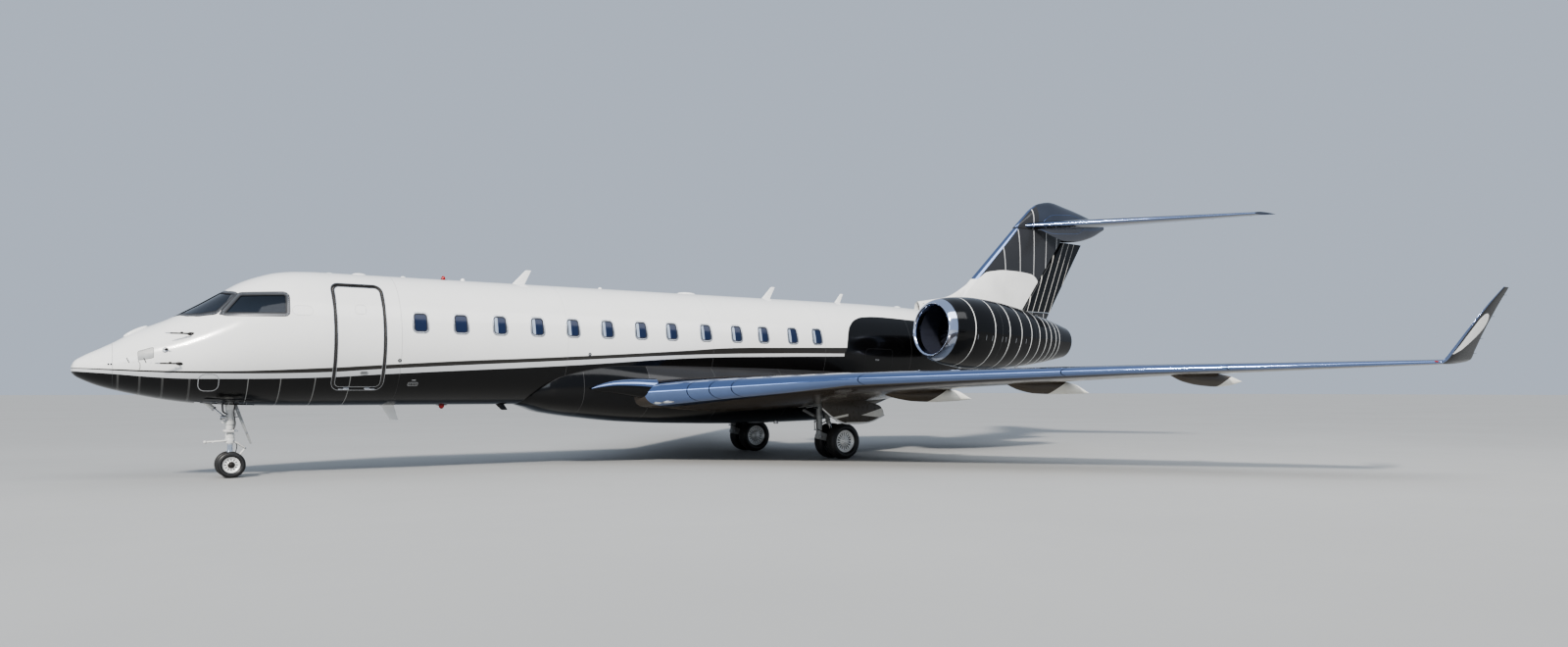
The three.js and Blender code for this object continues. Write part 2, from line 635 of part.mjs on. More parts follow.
// Bullet fairing where the tailplane crosses the fin: x, crown, bottom, half width
const bulletSections = [
  [24100, 6740, 6690, 40],
  [24450, 7030, 6640, 120],
  [24800, 7290, 6600, 190],
  [25200, 7510, 6550, 250],
  [25700, 7650, 6480, 285],
  [26300, 7560, 6430, 285],
  [27000, 7430, 6500, 245],
  [27700, 7270, 6690, 165],
  [28300, 7120, 6980, 45],
];

const ovalRings = (rows, count) =>
  rows.map(([x, top, bottom, halfWidth]) =>
    Array.from({ length: count }, (_, i) => {
      const angle = (2 * Math.PI * i) / count;
      return new THREE.Vector3(x, halfWidth * Math.cos(angle), (top + bottom) / 2 + ((top - bottom) / 2) * Math.sin(angle));
    }),
  );

const grown = (rows, outset) => rows.map(([x, top, bottom, halfWidth]) => [x, top + outset, bottom - outset, halfWidth + outset]);

function addTail() {
  const finRing = ([z, x0, x1, thickness]) => aerofoilRing({ leading: [x0, 0, z], trailing: [x1, 0, z], thickness, lift: 90 });
  const whole = meet(loft(finStations.map(finRing)), box(20000, 29000, -500, 500, 3000, 6690));
  const { root: z0, tip: z1 } = rudderEnds;
  const rudderPlace = { at: finAt, hinge: rudderHinge, radiusAt: rudderRadius, slab: 'z' };
  const rudderPins = hingePins(rudderPlace, z0, z1, [[z0 - controlGap.rudder, -1]]);
  const rudder = join(meet(whole, hingedRoom(rudderPlace, z0, z1)), ...rudderPins);
  const aboveFin = 7200;
  const rudderHole = hingedRoom(rudderPlace, z0 - controlGap.rudder, aboveFin, clearance);

  const dorsal = loft(
    dorsalSections.map(([x, crown, halfWidth]) =>
      Array.from({ length: 12 }, (_, i) => {
        const angle = (Math.PI * i) / 11;
        const height = crown - dorsalFoot;
        return new THREE.Vector3(x, halfWidth * Math.cos(angle), dorsalFoot + height * Math.sin(angle) ** 0.5);
      }),
    ),
  );
  const inlet = box(20100, 20500, -75, 75, 4070, 4200);
  const bullet = loft(ovalRings(bulletSections, 16));
  const bulletWithSeat = loft(ovalRings(grown(bulletSections, seat), 16));
  const portStations = [...tailplaneStations].reverse().map(([y, ...row]) => [-y, ...row]);
  const stations = [...portStations, ...tailplaneStations.slice(1)];
  const tail = wingLoft(stations);

  const { root: y0, tip: y1 } = elevatorEnds;
  const elevatorPlace = { at: tailplaneAt, hinge: elevatorHinge, radiusAt: elevatorRadius, slab: 'y' };
  const elevatorPins = hingePins(elevatorPlace, y0, y1, [[y0 - controlGap.inner, -1], [y1 + controlGap.outer, 1]]);
  const elevator = join(meet(tail, hingedRoom(elevatorPlace, y0, y1)), ...elevatorPins);
  const elevatorHole = hingedRoom(elevatorPlace, y0 - controlGap.inner, y1 + controlGap.outer, clearance);
  const fixedTail = cut(tail, elevatorHole, mirrored(elevatorHole));

  const finBody = join(cut(whole, rudderHole), cut(dorsal, inlet));
  addPiece('fin', cut(finBody, skinWithSeat, bulletWithSeat), materials.charcoal);
  addPiece('rudder', cut(rudder, skinWithSeat), materials.black);
  addPiece('bullet_fairing', cut(bullet, wingLoft(stations, seat)), materials.charcoal);
  addPiece('tailplane', fixedTail, materials.polished);
  addPair('elevator', elevator, materials.charcoal);
}

// Landing gear
const noseGear = { x: 2550, wheelRadius: 252, tyreWidth: 184, wheelY: 165, rimRadius: 150 };
const mainGear = { x: 15730, y: 2030, wheelRadius: 435, tyreWidth: 300, wheelY: 245, rimRadius: 265 };

// Tyre section as [along the axle, radius], with a shallow crown and rounded shoulders
function tyreProfile({ wheelRadius: r, tyreWidth: w, rimRadius: rim }) {
  const side = w / 2;
  const depth = r - rim;
  // outwards from the bead: share of the half width, share of the depth
  const half = [[0.62, 0], [1, 0.45], [0.86, 0.84], [0.5, 1]];
  const left = half.map(([across, up]) => [-side * across, rim + seat + (depth - seat) * up]);
  const right = half.map(([across, up]) => [side * across, rim + seat + (depth - seat) * up]).reverse();
  return [...left, ...right];
}

// Wheel rim with a dished face each side, as [along the axle, radius]
function rimProfile({ tyreWidth: w, rimRadius: rim }) {
  const side = w / 2;
  const half = [[0.5, 0], [0.5, 0.36], [0.2, 0.5], [0.2, 0.78], [0.62, 1]];
  return [...half.map(([across, r]) => [-side * across, rim * r]), ...half.map(([across, r]) => [side * across, rim * r]).reverse()];
}

// An axle and its bearing, whose flats clear the axle's corners as it turns
const axleSides = 20;
const axleRadius = ({ rimRadius }) => rimRadius * 0.16;
const bearingRadius = (gear) => (axleRadius(gear) + seat) / Math.cos(Math.PI / axleSides);

function addWheelPair(name, gear, x, y) {
  const group = new THREE.Group();
  group.position.set(x, y, gear.wheelRadius);
  const rim = turned(rimProfile(gear), aroundWheel / 2, 'y');
  const axle = rod([0, -gear.wheelY, 0], [0, gear.wheelY, 0], axleRadius(gear), axleRadius(gear), axleSides);
  const rims = join(axle, ...[-1, 1].map((side) => rim.clone().translate(0, side * gear.wheelY, 0)));
  addPiece(`${name}_rims`, rims, materials.steel, group);
  for (const [place, side] of [['left', -1], ['right', 1]]) {
    const tyre = turned(tyreProfile(gear), aroundWheel, 'y').translate(0, side * gear.wheelY, 0);
    addPiece(`${name}_tyre_${place}`, tyre, materials.rubber, group);
  }
  aircraft.add(group);
}

const steeringJoint = 760; // height where the steered part leaves the leg

function addNoseGear() {
  const { x, wheelRadius } = noseGear;
  const legRadius = 75;
  const leg = join(
    rod([x, 0, steeringJoint], [x, 0, noseBay.roof - seat], legRadius),
    rod([x, 0, 1080], [2020, 0, 1560], 32),
    rod([2020, -150, 1560], [2020, 150, 1560], 28),
    box(noseBay.x0 + seat, 2060, -60, 60, 1500, 1620),
    rod([x, -noseBay.halfWidth + seat, 1640], [x, noseBay.halfWidth - seat, 1640], 45),
  );
  addPiece('nose_leg', leg, materials.gearWhite);
  const collar = steeringJoint - seat;
  const bearing = bearingRadius(noseGear);
  const fork = cut(
    join(
      rod([x, 0, wheelRadius], [x, 0, collar], 52),
      rod([x, 0, collar - 90], [x, 0, collar], 85),
      box(x - 62, x + 62, -62, 62, wheelRadius - 62, wheelRadius + 62),
      rod([x + 50, 0, collar - 50], [x + 260, 0, 560], 22),
      rod([x + 260, 0, 560], [x + 50, 0, wheelRadius + 30], 22),
      rod([x - 60, 0, collar - 60], [x - 210, 0, collar - 90], 24),
    ),
    rod([x, -200, wheelRadius], [x, 200, wheelRadius], bearing, bearing, axleSides),
  );
  addPiece('nose_steering', fork, materials.gearWhite);
  addWheelPair('nose', noseGear, x, 0);
  const door = plate([[x + 40, 1500], [x + 85, 1500], [x + 375, 640], [x + 355, 640], [x + 40, 1400]], -45, 45);
  addPiece('nose_gear_door', cut(door, rod([x, 0, 600], [x, 0, noseBay.roof], legRadius + seat)), materials.black);
}

function addMainGear() {
  const { x, y, wheelRadius } = mainGear;
  const bearing = bearingRadius(mainGear);
  const neighbours = [wingLoft(wingStations, seat), mirrored(wingLoft(wingStations, seat)), fairingSkin(seat)];
  const post = x - 540;
  const doorFace = y + 410;
  const arm = plate([[post - 90, 620], [post + 60, 660], [x + 70, wheelRadius + 75], [x + 70, wheelRadius - 75], [post, 480]], y - 72, y + 72);
  const strut = cut(
    join(
      rod([post, y, 560], [post, y, 1620], 80),
      rod([post, y - 92, 560], [post, y + 92, 560], 70),
      arm,
      rod([x - 90, y, wheelRadius + 40], [post + 120, y, 1330], 55),
      rod([post, y, 1000], [post - 140, 1450, 1230], 42),
      rod([post, y, 1120], [post, doorFace - seat, 1120], 25),
    ),
    rod([x, y - 300, wheelRadius], [x, y + 300, wheelRadius], bearing, bearing, axleSides),
  );
  addPair('main_leg', strut, materials.gearWhite, neighbours);
  const doorOutline = [[14960, 1250], [15340, 985], [15740, 850], [16420, 885], [16925, 1058], [16800, 1300], [16000, 1500], [15000, 1500]];
  addPair('main_gear_door', plate(doorOutline, doorFace, doorFace + 25), materials.black, neighbours);
  for (const { name, sign } of sides) addWheelPair(`main_${name}`, mainGear, x, sign * y);
}

addFuselage();
addPassengerDoor();
addFlightDeck();
addFairing();
addWings();
addWinglets();
addEngines();
addTail();
addNoseGear();
addMainGear();

aircraft.position.x = -overallLength / 2;

export default aircraft;
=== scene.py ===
# A parked twin-engined business jet, finished over its CAD frame.
# Lengths are metres aft of the nose tip; addPiece moves each mesh into the frame.
from bisect import bisect_left
from math import asin, copysign, cos, dist, hypot, pi, radians, sin, sqrt

import bmesh
import bpy
from mathutils import Matrix, Vector


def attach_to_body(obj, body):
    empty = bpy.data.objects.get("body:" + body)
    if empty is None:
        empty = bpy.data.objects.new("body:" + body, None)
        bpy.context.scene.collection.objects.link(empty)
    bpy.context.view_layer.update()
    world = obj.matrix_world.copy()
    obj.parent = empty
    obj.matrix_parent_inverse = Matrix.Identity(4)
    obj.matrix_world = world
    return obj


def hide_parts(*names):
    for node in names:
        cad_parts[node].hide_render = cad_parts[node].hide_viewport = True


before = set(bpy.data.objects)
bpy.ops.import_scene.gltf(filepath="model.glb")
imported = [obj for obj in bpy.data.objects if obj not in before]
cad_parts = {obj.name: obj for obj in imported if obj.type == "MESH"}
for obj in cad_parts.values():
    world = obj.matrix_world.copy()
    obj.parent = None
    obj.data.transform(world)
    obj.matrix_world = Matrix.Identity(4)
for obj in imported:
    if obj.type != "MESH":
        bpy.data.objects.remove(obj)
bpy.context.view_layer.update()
noseStation = 15.15
noseToFrame = Matrix.Translation((-noseStation, 0, 0))
sides = (("port", -1), ("starboard", 1))


# Camera, lights and floor

def setStage():
    photo = {"eye": (-15.07, -22.8, 1.69), "heading": 0.9755, "lens": 24, "horizon": 0.0425}
    camera = bpy.data.objects.new("camera", bpy.data.cameras.new("camera"))
    camera.location = photo["eye"]
    camera.rotation_euler = (pi / 2, 0, photo["heading"] - pi / 2)
    camera.data.lens = photo["lens"]
    camera.data.sensor_width = 36
    camera.data.shift_y = photo["horizon"]
    camera.data.clip_end = 900
    bpy.context.scene.collection.objects.link(camera)
    bpy.context.scene.camera = camera

    world = bpy.data.worlds.new("studio")
    world.use_nodes = True
    background = world.node_tree.nodes["Background"]
    background.inputs["Color"].default_value = (0.6, 0.68, 0.8, 1)
    background.inputs["Strength"].default_value = 0.72
    bpy.context.scene.world = world
    bpy.context.scene.view_settings.look = "AgX - Medium High Contrast"

    # name, kind, place, aimed at, strength, size, colour
    lamps = [
        ("key", "SUN", (-30, -34, 34), (0, 0, 2), 3.6, 0.12, (1, 0.95, 0.88)),
        ("overhead", "AREA", (-2, -16, 20), (0, 0, 2.5), 2600, (34, 9), (1, 1, 1)),
        ("fill", "AREA", (-34, -14, 9), (-8, 0, 2), 700, (10, 7), (0.85, 0.92, 1)),
    ]
    for name, kind, place, target, strength, size, color in lamps:
        data = bpy.data.lights.new(name, kind)
        data.energy = strength
        data.color = color
        if kind == "SUN":
            data.angle = size
        else:
            data.shape = "RECTANGLE"
            data.size, data.size_y = size
        lamp = bpy.data.objects.new(name, data)
        lamp.location = place
        lamp.rotation_euler = (Vector(target) - Vector(place)).to_track_quat("-Z", "Y").to_euler()
        lamp.visible_camera = False
        bpy.context.scene.collection.objects.link(lamp)

    bm = bmesh.new()
    bmesh.ops.create_grid(bm, x_segments=2, y_segments=2, size=420)
    mesh = bpy.data.meshes.new("floor")
    bm.to_mesh(mesh)
    bm.free()
    floor = bpy.data.objects.new("floor", mesh)
    mesh.materials.append(finish("floor_grey", 0.75, (0.44, 0.44, 0.43), shade=0.94, patch=0.15))
    bpy.context.scene.collection.objects.link(floor)


# Curves through tables

def cubic(table, steps, roundStart=False):
    # smooth rows through the table's rows, steps to a gap, without overshoot
    spans = [0]
    for low, high in zip(table, table[1:]):
        spans.append(spans[-1] + dist(low[:2], high[:2]))
    last = len(table) - 1

    def slope(i, column):
        gaps = [(table[n + 1][column] - table[n][column]) / (spans[n + 1] - spans[n]) for n in (i - 1, i)
            if 0 <= n < last]
        if i == 0 and roundStart and column == 0:
            return 0
        if len(gaps) == 1:
            return gaps[0]
        return 0 if gaps[0] * gaps[1] <= 0 else 2 * gaps[0] * gaps[1] / (gaps[0] + gaps[1])

    rows = []
    for i in range(last):
        width = spans[i + 1] - spans[i]
        for step in range(steps):
            t = step / steps
            weights = (2 * t**3 - 3 * t**2 + 1, t**3 - 2 * t**2 + t, 3 * t**2 - 2 * t**3, t**3 - t**2)
            rows.append([
                weights[0] * table[i][c] + weights[1] * width * slope(i, c)
                + weights[2] * table[i + 1][c] + weights[3] * width * slope(i + 1, c)
                for c in range(len(table[0]))
            ])
    rows.append(list(table[-1]))
    return rows


def rowAt(rows, x):
    i = max(1, min(len(rows) - 1, bisect_left(rows, x, key=lambda row: row[0])))
    low, high = rows[i - 1], rows[i]
    t = (x - low[0]) / (high[0] - low[0])
    return [a + (b - a) * t for a, b in zip(low, high)]


def turns(count):
    return [2 * pi * i / count for i in range(count)]


def oval(x, y, z, wide, tall, count):
    # points round an oval that stands across the aircraft
    return [Vector((x, y + wide * cos(a), z + tall * sin(a))) for a in turns(count)]


def spread(start, end, count):
    return [start + (end - start) * i / count for i in range(count + 1)]


# Mesh helpers: each makes a new bmesh, and attach puts one into another

def sheet(across, along, place, uv=None):
    # a grid whose points go to place(u, v), with touching edges merged
    bm = bmesh.new()
    made = bmesh.ops.create_grid(bm, x_segments=across, y_segments=along, size=0.5)["verts"]
    layer = bm.loops.layers.uv.verify()
    for face in bm.faces:
        for loop in face.loops:
            u, v = loop.vert.co.x + 0.5, loop.vert.co.y + 0.5
            loop[layer].uv = uv(u, v) if uv else (u, v)
    for vert in made:
        vert.co = place(vert.co.x + 0.5, vert.co.y + 0.5)
    bmesh.ops.remove_doubles(bm, verts=bm.verts, dist=1e-5)
    return bm


def outward(bm):
    bmesh.ops.recalc_face_normals(bm, faces=bm.faces)
    return bm


def closed(bm):
    # fills the open ends
    bmesh.ops.holes_fill(bm, edges=[edge for edge in bm.edges if edge.is_boundary], sides=0)
    return outward(bm)


def thickened(bm, thickness):
    outward(bm)
    bmesh.ops.solidify(bm, geom=bm.faces[:], thickness=thickness)
    return bm


def bevelled(bm, edges, offset):
    bmesh.ops.bevel(bm, geom=edges, offset=offset, segments=2, profile=0.5, affect="EDGES", material=-1)


def skinned(rings, uv=None, wrap=True):
    # a sheet through lists of points, closed round each list
    around = len(rings[0]) - (0 if wrap else 1)
    along = len(rings) - 1

    def place(u, v):
        ring = rings[round(v * along)]
        return ring[round(u * around) % len(ring)]

    return sheet(around, along, place, uv)


def turned(profile, segments=64, angle=2 * pi):
    # a profile of (along X, radius) points spun about the X axis
    bm = bmesh.new()
    points = [bm.verts.new((along, 0, radius)) for along, radius in profile]
    edges = [bm.edges.new(pair) for pair in zip(points, points[1:])]
    whole = angle > 6.28
    bmesh.ops.spin(bm, geom=points + edges, cent=(0, 0, 0), axis=(1, 0, 0), angle=angle, steps=segments,
        use_merge=whole)
    bmesh.ops.remove_doubles(bm, verts=bm.verts, dist=1e-5)
    layer = bm.loops.layers.uv.verify()
    for face in bm.faces:
        for loop in face.loops:
            co = loop.vert.co
            loop[layer].uv = (co.x, hypot(co.y, co.z))
    return outward(bm)


def rod(start, end, radius, endRadius=None, segments=24, rim=0):
    start, end = Vector(start), Vector(end)
    bm = bmesh.new()
    far = radius if endRadius is None else endRadius
    bmesh.ops.create_cone(bm, cap_ends=True, segments=segments, radius1=radius, radius2=far,
        depth=(end - start).length)
    if rim:
        edges = [edge for edge in bm.edges if abs(edge.verts[0].co.z - edge.verts[1].co.z) < 1e-6]
        bevelled(bm, edges, rim)
    turn = (end - start).to_track_quat("Z", "Y").to_matrix().to_4x4()
    bmesh.ops.transform(bm, matrix=Matrix.Translation((start + end) / 2) @ turn, verts=bm.verts)
    return bm


def pin(middle, half, radius, segments=24, rim=0):
    # a rod across the aircraft, this far to both sides of its middle
    reach = Vector((0, half, 0))
    return rod(Vector(middle) - reach, Vector(middle) + reach, radius, segments=segments, rim=rim)


def slab(low, high, edge=0.004):
    low, high = Vector(low), Vector(high)
    bm = bmesh.new()
    bmesh.ops.create_cube(bm, size=1)
    bmesh.ops.scale(bm, vec=high - low, verts=bm.verts)
    bmesh.ops.translate(bm, vec=(low + high) / 2, verts=bm.verts)
    if edge:
        bevelled(bm, bm.edges[:], edge)
    return bm


def ball(middle, radius):
    bm = bmesh.new()
    bmesh.ops.create_uvsphere(bm, u_segments=24, v_segments=14, radius=radius)
    bmesh.ops.translate(bm, vec=middle, verts=bm.verts)
    return bm


def prism(outline, push, edge=0):
    # a drawn outline of points pushed along a vector
    bm = bmesh.new()
    face = bmesh.ops.contextual_create(bm, geom=[bm.verts.new(point) for point in outline])["faces"]
    made = bmesh.ops.extrude_face_region(bm, geom=face, use_keep_orig=True)["geom"]
    bmesh.ops.translate(bm, vec=push, verts=[item for item in made if isinstance(item, bmesh.types.BMVert)])
    outward(bm)
    if edge:
        bevelled(bm, [line for line in bm.edges if line.calc_face_angle(0) > 0.7], edge)
    return bm


def sidePlate(outline, y, width, edge=0):
    # a side view's outline made solid, from y on
    return prism([(a, y, b) for a, b in outline], (0, width, 0), edge)


def tube(points, radius, segments=8, steps=5):
    # a round pipe along a smooth line through points
    line = cubic([list(map(float, point)) for point in points], steps) if len(points) > 2 else [list(p)
        for p in points]
    line = [Vector(point) for point in line]
    rings = []
    side = None
    for i, point in enumerate(line):
        ahead = (line[min(i + 1, len(line) - 1)] - line[max(i - 1, 0)]).normalized()
        side = (side or ahead.orthogonal())
        side = (side - ahead * side.dot(ahead)).normalized()
        up = ahead.cross(side)
        rings.append([point + radius * (cos(a) * side + sin(a) * up) for a in turns(segments)])
    return closed(skinned(rings))


def attach(bm, material, *parts, at=None):
    # puts parts of one material into bm; with None they keep their own
    for part in parts:
        if at is not None:
            bmesh.ops.transform(part, matrix=at, verts=part.verts)
        if material is not None:
            for face in part.faces:
                face.material_index = material
        mesh = bpy.data.meshes.new("part")
        part.to_mesh(mesh)
        part.free()
        bm.from_mesh(mesh)
        bpy.data.meshes.remove(mesh)


def moved(x, y, z):
    return Matrix.Translation((x, y, z))


def spun(degrees, axis):
    return Matrix.Rotation(radians(degrees), 4, axis)


def gather(*parts):
    # one bmesh of several, each given as (bmesh, material) or (bmesh, material, matrix)
    bm = bmesh.new()
    bm.loops.layers.uv.verify()
    for part, material, *matrix in parts:
        attach(bm, material, part, at=matrix[0] if matrix else None)
    return bm


def carve(bm, tool, operation="DIFFERENCE"):
    made = []
    for name, part in (("work", bm), ("tool", tool)):
        mesh = bpy.data.meshes.new(name)
        part.to_mesh(mesh)
        part.free()
        made.append(bpy.data.objects.new(name, mesh))
        bpy.context.scene.collection.objects.link(made[-1])
    modifier = made[0].modifiers.new("carve", "BOOLEAN")
    modifier.operation, modifier.solver, modifier.object = operation, "EXACT", made[1]
    graph = bpy.context.evaluated_depsgraph_get()
    result = bpy.data.meshes.new_from_object(made[0].evaluated_get(graph))
    out = bmesh.new()
    out.from_mesh(result)
    for item in made:
        mesh = item.data
        bpy.data.objects.remove(item)
        bpy.data.meshes.remove(mesh)
    bpy.data.meshes.remove(result)
    return out


def mirrored(bm):
    copy = bm.copy()
    bmesh.ops.scale(copy, vec=(1, -1, 1), verts=copy.verts)
    bmesh.ops.reverse_faces(copy, faces=copy.faces)
    return copy


def handed(bm, side):
    # a part made for starboard, as it is or mirrored to port
    return bm if side > 0 else mirrored(bm)


def addPiece(name, bm, materials, node=None, body="airframe", sharp=32, normalAt=None, tidy=True):
    # node is the one of the CAD that the piece stands for
    if tidy:
        bmesh.ops.remove_doubles(bm, verts=bm.verts, dist=1e-5)
        outward(bm)
    mesh = bpy.data.meshes.new(name)
    bm.to_mesh(mesh)
    bm.free()
    for material in materials:
        mesh.materials.append(material)
    mesh.shade_smooth()
    mesh.set_sharp_from_angle(angle=radians(sharp))
    if normalAt:
        true = [normalAt(vert.co) for vert in mesh.vertices]
        current = [Vector(normal.vector) for normal in mesh.corner_normals]
        for face in mesh.polygons:
            for corner in face.loop_indices:
                wanted = true[mesh.loops[corner].vertex_index]
                if wanted is not None and wanted.dot(face.normal) > 0.9:
                    current[corner] = wanted
        mesh.normals_split_custom_set(current)
    mesh.transform(noseToFrame)
    item = bpy.data.objects.new(name, mesh)
    bpy.context.scene.collection.objects.link(item)
    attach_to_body(item, body)
    if node:
        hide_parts(node)
    return item


# Materials

def addNode(tree, kind, inputs=None, output=0, **settings):
    node = tree.nodes.new("ShaderNode" + kind)
    for key, value in settings.items():
        setattr(node, key, value)
    for socket, value in (inputs or {}).items():
        if isinstance(value, Wire):
            tree.links.new(value.socket, node.inputs[socket])
        else:
            node.inputs[socket].default_value = value
    return Wire(tree, node.outputs[output])


class Wire:
    # what a node puts out; it adds, multiplies and compares like a number
    def __init__(self, tree, socket):
        self.tree = tree
        self.socket = socket

    def calc(self, operation, b=0, c=0):
        return addNode(self.tree, "Math", {0: self, 1: b, 2: c}, operation=operation)

    def __add__(self, other):
        return self.calc("ADD", other)

    def __sub__(self, other):
        return self.calc("SUBTRACT", other)

    def __rsub__(self, number):
        return addNode(self.tree, "Math", {0: number, 1: self}, operation="SUBTRACT")

    def __mul__(self, other):
        return self.calc("MULTIPLY", other)

    def __truediv__(self, other):
        return self.calc("DIVIDE", other)

    def __pow__(self, other):
        return self.calc("POWER", other)

    def __gt__(self, other):
        return self.calc("GREATER_THAN", other)

    def __lt__(self, other):
        return self.calc("LESS_THAN", other)


def blend(tree, factor, a, b, kind="MIX"):
    colors = [value if isinstance(value, Wire) else (*value, 1) for value in (a, b)]
    return addNode(tree, "Mix", {0: factor, 6: colors[0], 7: colors[1]}, output=2, data_type="RGBA",
        blend_type=kind)


def stations(tree):
    # distances from the nose tip, the centre line and the ground
    place = addNode(tree, "TexCoord", output="Object")
    moved = addNode(tree, "Mapping", {"Vector": place, "Location": (noseStation, 0, 0)})
    return [addNode(tree, "SeparateXYZ", {0: moved}, output=axis) for axis in "XYZ"]


def uvParts(tree):
    # U and V: for a turned part the distance along its axis and the radius
    uv = addNode(tree, "TexCoord", output="UV")
    return [addNode(tree, "SeparateXYZ", {0: uv}, output=axis) for axis in "XY"]


def ranged(value, low, high, start=0, end=1):
    limits = {"Value": value, "From Min": start, "From Max": end, "To Min": low, "To Max": high}
    return addNode(value.tree, "MapRange", limits)


def noise(tree, scale, detail):
    where = addNode(tree, "TexCoord", output="Object")
    return addNode(tree, "TexNoise", {"Vector": where, "Scale": scale, "Detail": detail})


def lineThrough(along, points):
    # height of a line drawn through (station, height) points
    tallest = 8
    start, end = points[0][0], points[-1][0]
    node = along.tree.nodes.new("ShaderNodeFloatCurve")
    curve = node.mapping.curves[0]
    ordered = [((x - start) / (end - start), z / tallest) for x, z in points]
    curve.points[0].location, curve.points[1].location = ordered[0], ordered[-1]
    for x, z in ordered[1:-1]:
        curve.points.new(x, z)
    for point in curve.points:
        point.handle_type = "AUTO_CLAMPED"
    node.mapping.update()
    along.tree.links.new(ranged(along, 0, 1, start, end).socket, node.inputs["Value"])
    return Wire(along.tree, node.outputs[0]) * tallest


def rings(along, places, halfWidth):
    # 1 on thin bands at these stations
    total = 0
    for place in places:
        total = along.calc("COMPARE", place, halfWidth) + total
    return total


def within(value, low, high):
    return (value > low) * (value < high)


bumpHeight = 0.004


def finish(name, roughness, color=(0.5, 0.5, 0.5), metallic=0, shade=0.9, patch=1.5, uneven=0.05,
        grain=None, pattern=None, extra=None):
    # a material with slight unevenness in its colour, gloss and surface; grain is how high and how fine its
    # bumps are, and pattern draws what else it shows
    material = bpy.data.materials.new(name)
    material.use_nodes = True
    tree = material.node_tree
    shader = tree.nodes["Principled BSDF"]
    drawn = pattern(tree) if pattern else {}
    tone = ranged(noise(tree, patch, 4), shade, 1, 0.3, 0.7)
    base = drawn.get("color") or blend(tree, 0, color, color)
    gloss = ranged(noise(tree, patch * 7, 2), -uneven, uneven, 0.3, 0.7)
    wires = {
        "Base Color": blend(tree, 1, base, tone, "MULTIPLY"),
        "Roughness": addNode(tree, "Math", {0: drawn.get("roughness", roughness), 1: gloss}, operation="ADD"),
    }
    if "metallic" in drawn:
        wires["Metallic"] = drawn["metallic"]
    else:
        shader.inputs["Metallic"].default_value = metallic
    if grain:
        fine = noise(tree, grain[1], 3)
        wires["Normal"] = addNode(tree, "Bump",
            {"Height": fine, "Strength": grain[0], "Distance": bumpHeight})
    if "height" in drawn:
        inputs = {"Height": drawn["height"], "Strength": 1, "Distance": bumpHeight}
        if grain:
            inputs["Normal"] = wires["Normal"]
        wires["Normal"] = addNode(tree, "Bump", inputs)
    for socket, wire in wires.items():
        tree.links.new(wire.socket, shader.inputs[socket])
    for socket, value in (extra or {}).items():
        shader.inputs[socket].default_value = value
    return material


gloss = {"Specular IOR Level": 0.36, "Coat Weight": 0.1, "Coat Roughness": 0.03}
whitePaint = (0.84, 0.84, 0.825)
blackPaint = (0.003, 0.003, 0.0035)
stripeSilver = (0.62, 0.63, 0.64)


def livery(tree):
    # a dark band over a pale one over a black belly, all rising aft, and a black tail under a white crown
    x, _, z = stations(tree)
    bandTop = lineThrough(x, [(0, 2.094), (0.62, 2.068), (1.26, 2.044), (1.91, 2.038), (4.15, 2.121),
        (4.91, 2.174), (6.83, 2.3), (8, 2.361), (9.49, 2.449), (11.96, 2.615), (12.93, 2.69),
        (14.67, 2.742), (16.56, 2.785)])
    bandLow = lineThrough(x, [(0, 2.082), (0.62, 2.045), (1.26, 2.015), (1.91, 2), (4.15, 2.04),
        (4.91, 2.096), (9.02, 2.34), (12.2, 2.526), (14.6, 2.601), (16.5, 2.633)])
    belly = lineThrough(x, [(0, 2.03), (0.62, 1.982), (1.26, 1.924), (1.92, 1.899), (4.17, 1.941),
        (4.93, 1.992), (9.04, 2.228), (12.2, 2.446), (14.6, 2.517), (16.5, 2.56)])
    rear = lineThrough(x, [(16.5, 2.64), (16.56, 2.72), (16.62, 2.98), (16.7, 3.22), (16.86, 3.42),
        (17.16, 3.58), (17.5, 3.635), (17.81, 3.65), (19.2, 3.6)])
    farAft = lineThrough(x, [(19.2, 3.6), (23.4, 3.62), (24.1, 3.72), (24.4, 4), (24.6, 4.6)])
    isAft = x > 16.5
    isFarAft = x > 19.2
    top = addNode(tree, "Mix", {0: isAft, 2: belly,
        3: addNode(tree, "Mix", {0: isFarAft, 2: rear, 3: farAft})})
    color = blend(tree, z < bandTop, whitePaint, (0.03, 0.028, 0.026))
    color = blend(tree, z < bandLow, color, stripeSilver)
    isBlack = z < top
    color = blend(tree, isBlack, color, blackPaint)
    broad = rings(x, (0.7, 1.03, 1.38, 1.8), 0.017)
    fine = rings(x, (2.75, 3.3, 3.9, 4.53), 0.008)
    stripes = (broad * 0.2 + fine * 0.7) * isBlack
    color = blend(tree, stripes, color, (0.35, 0.35, 0.34))
    seams = rings(x, (0.62, 5.45, 8.95, 12.6, 15.9, 18.8), 0.0035)
    color = blend(tree, seams * 0.35, color, (0.25, 0.25, 0.26))
    return {"color": color}


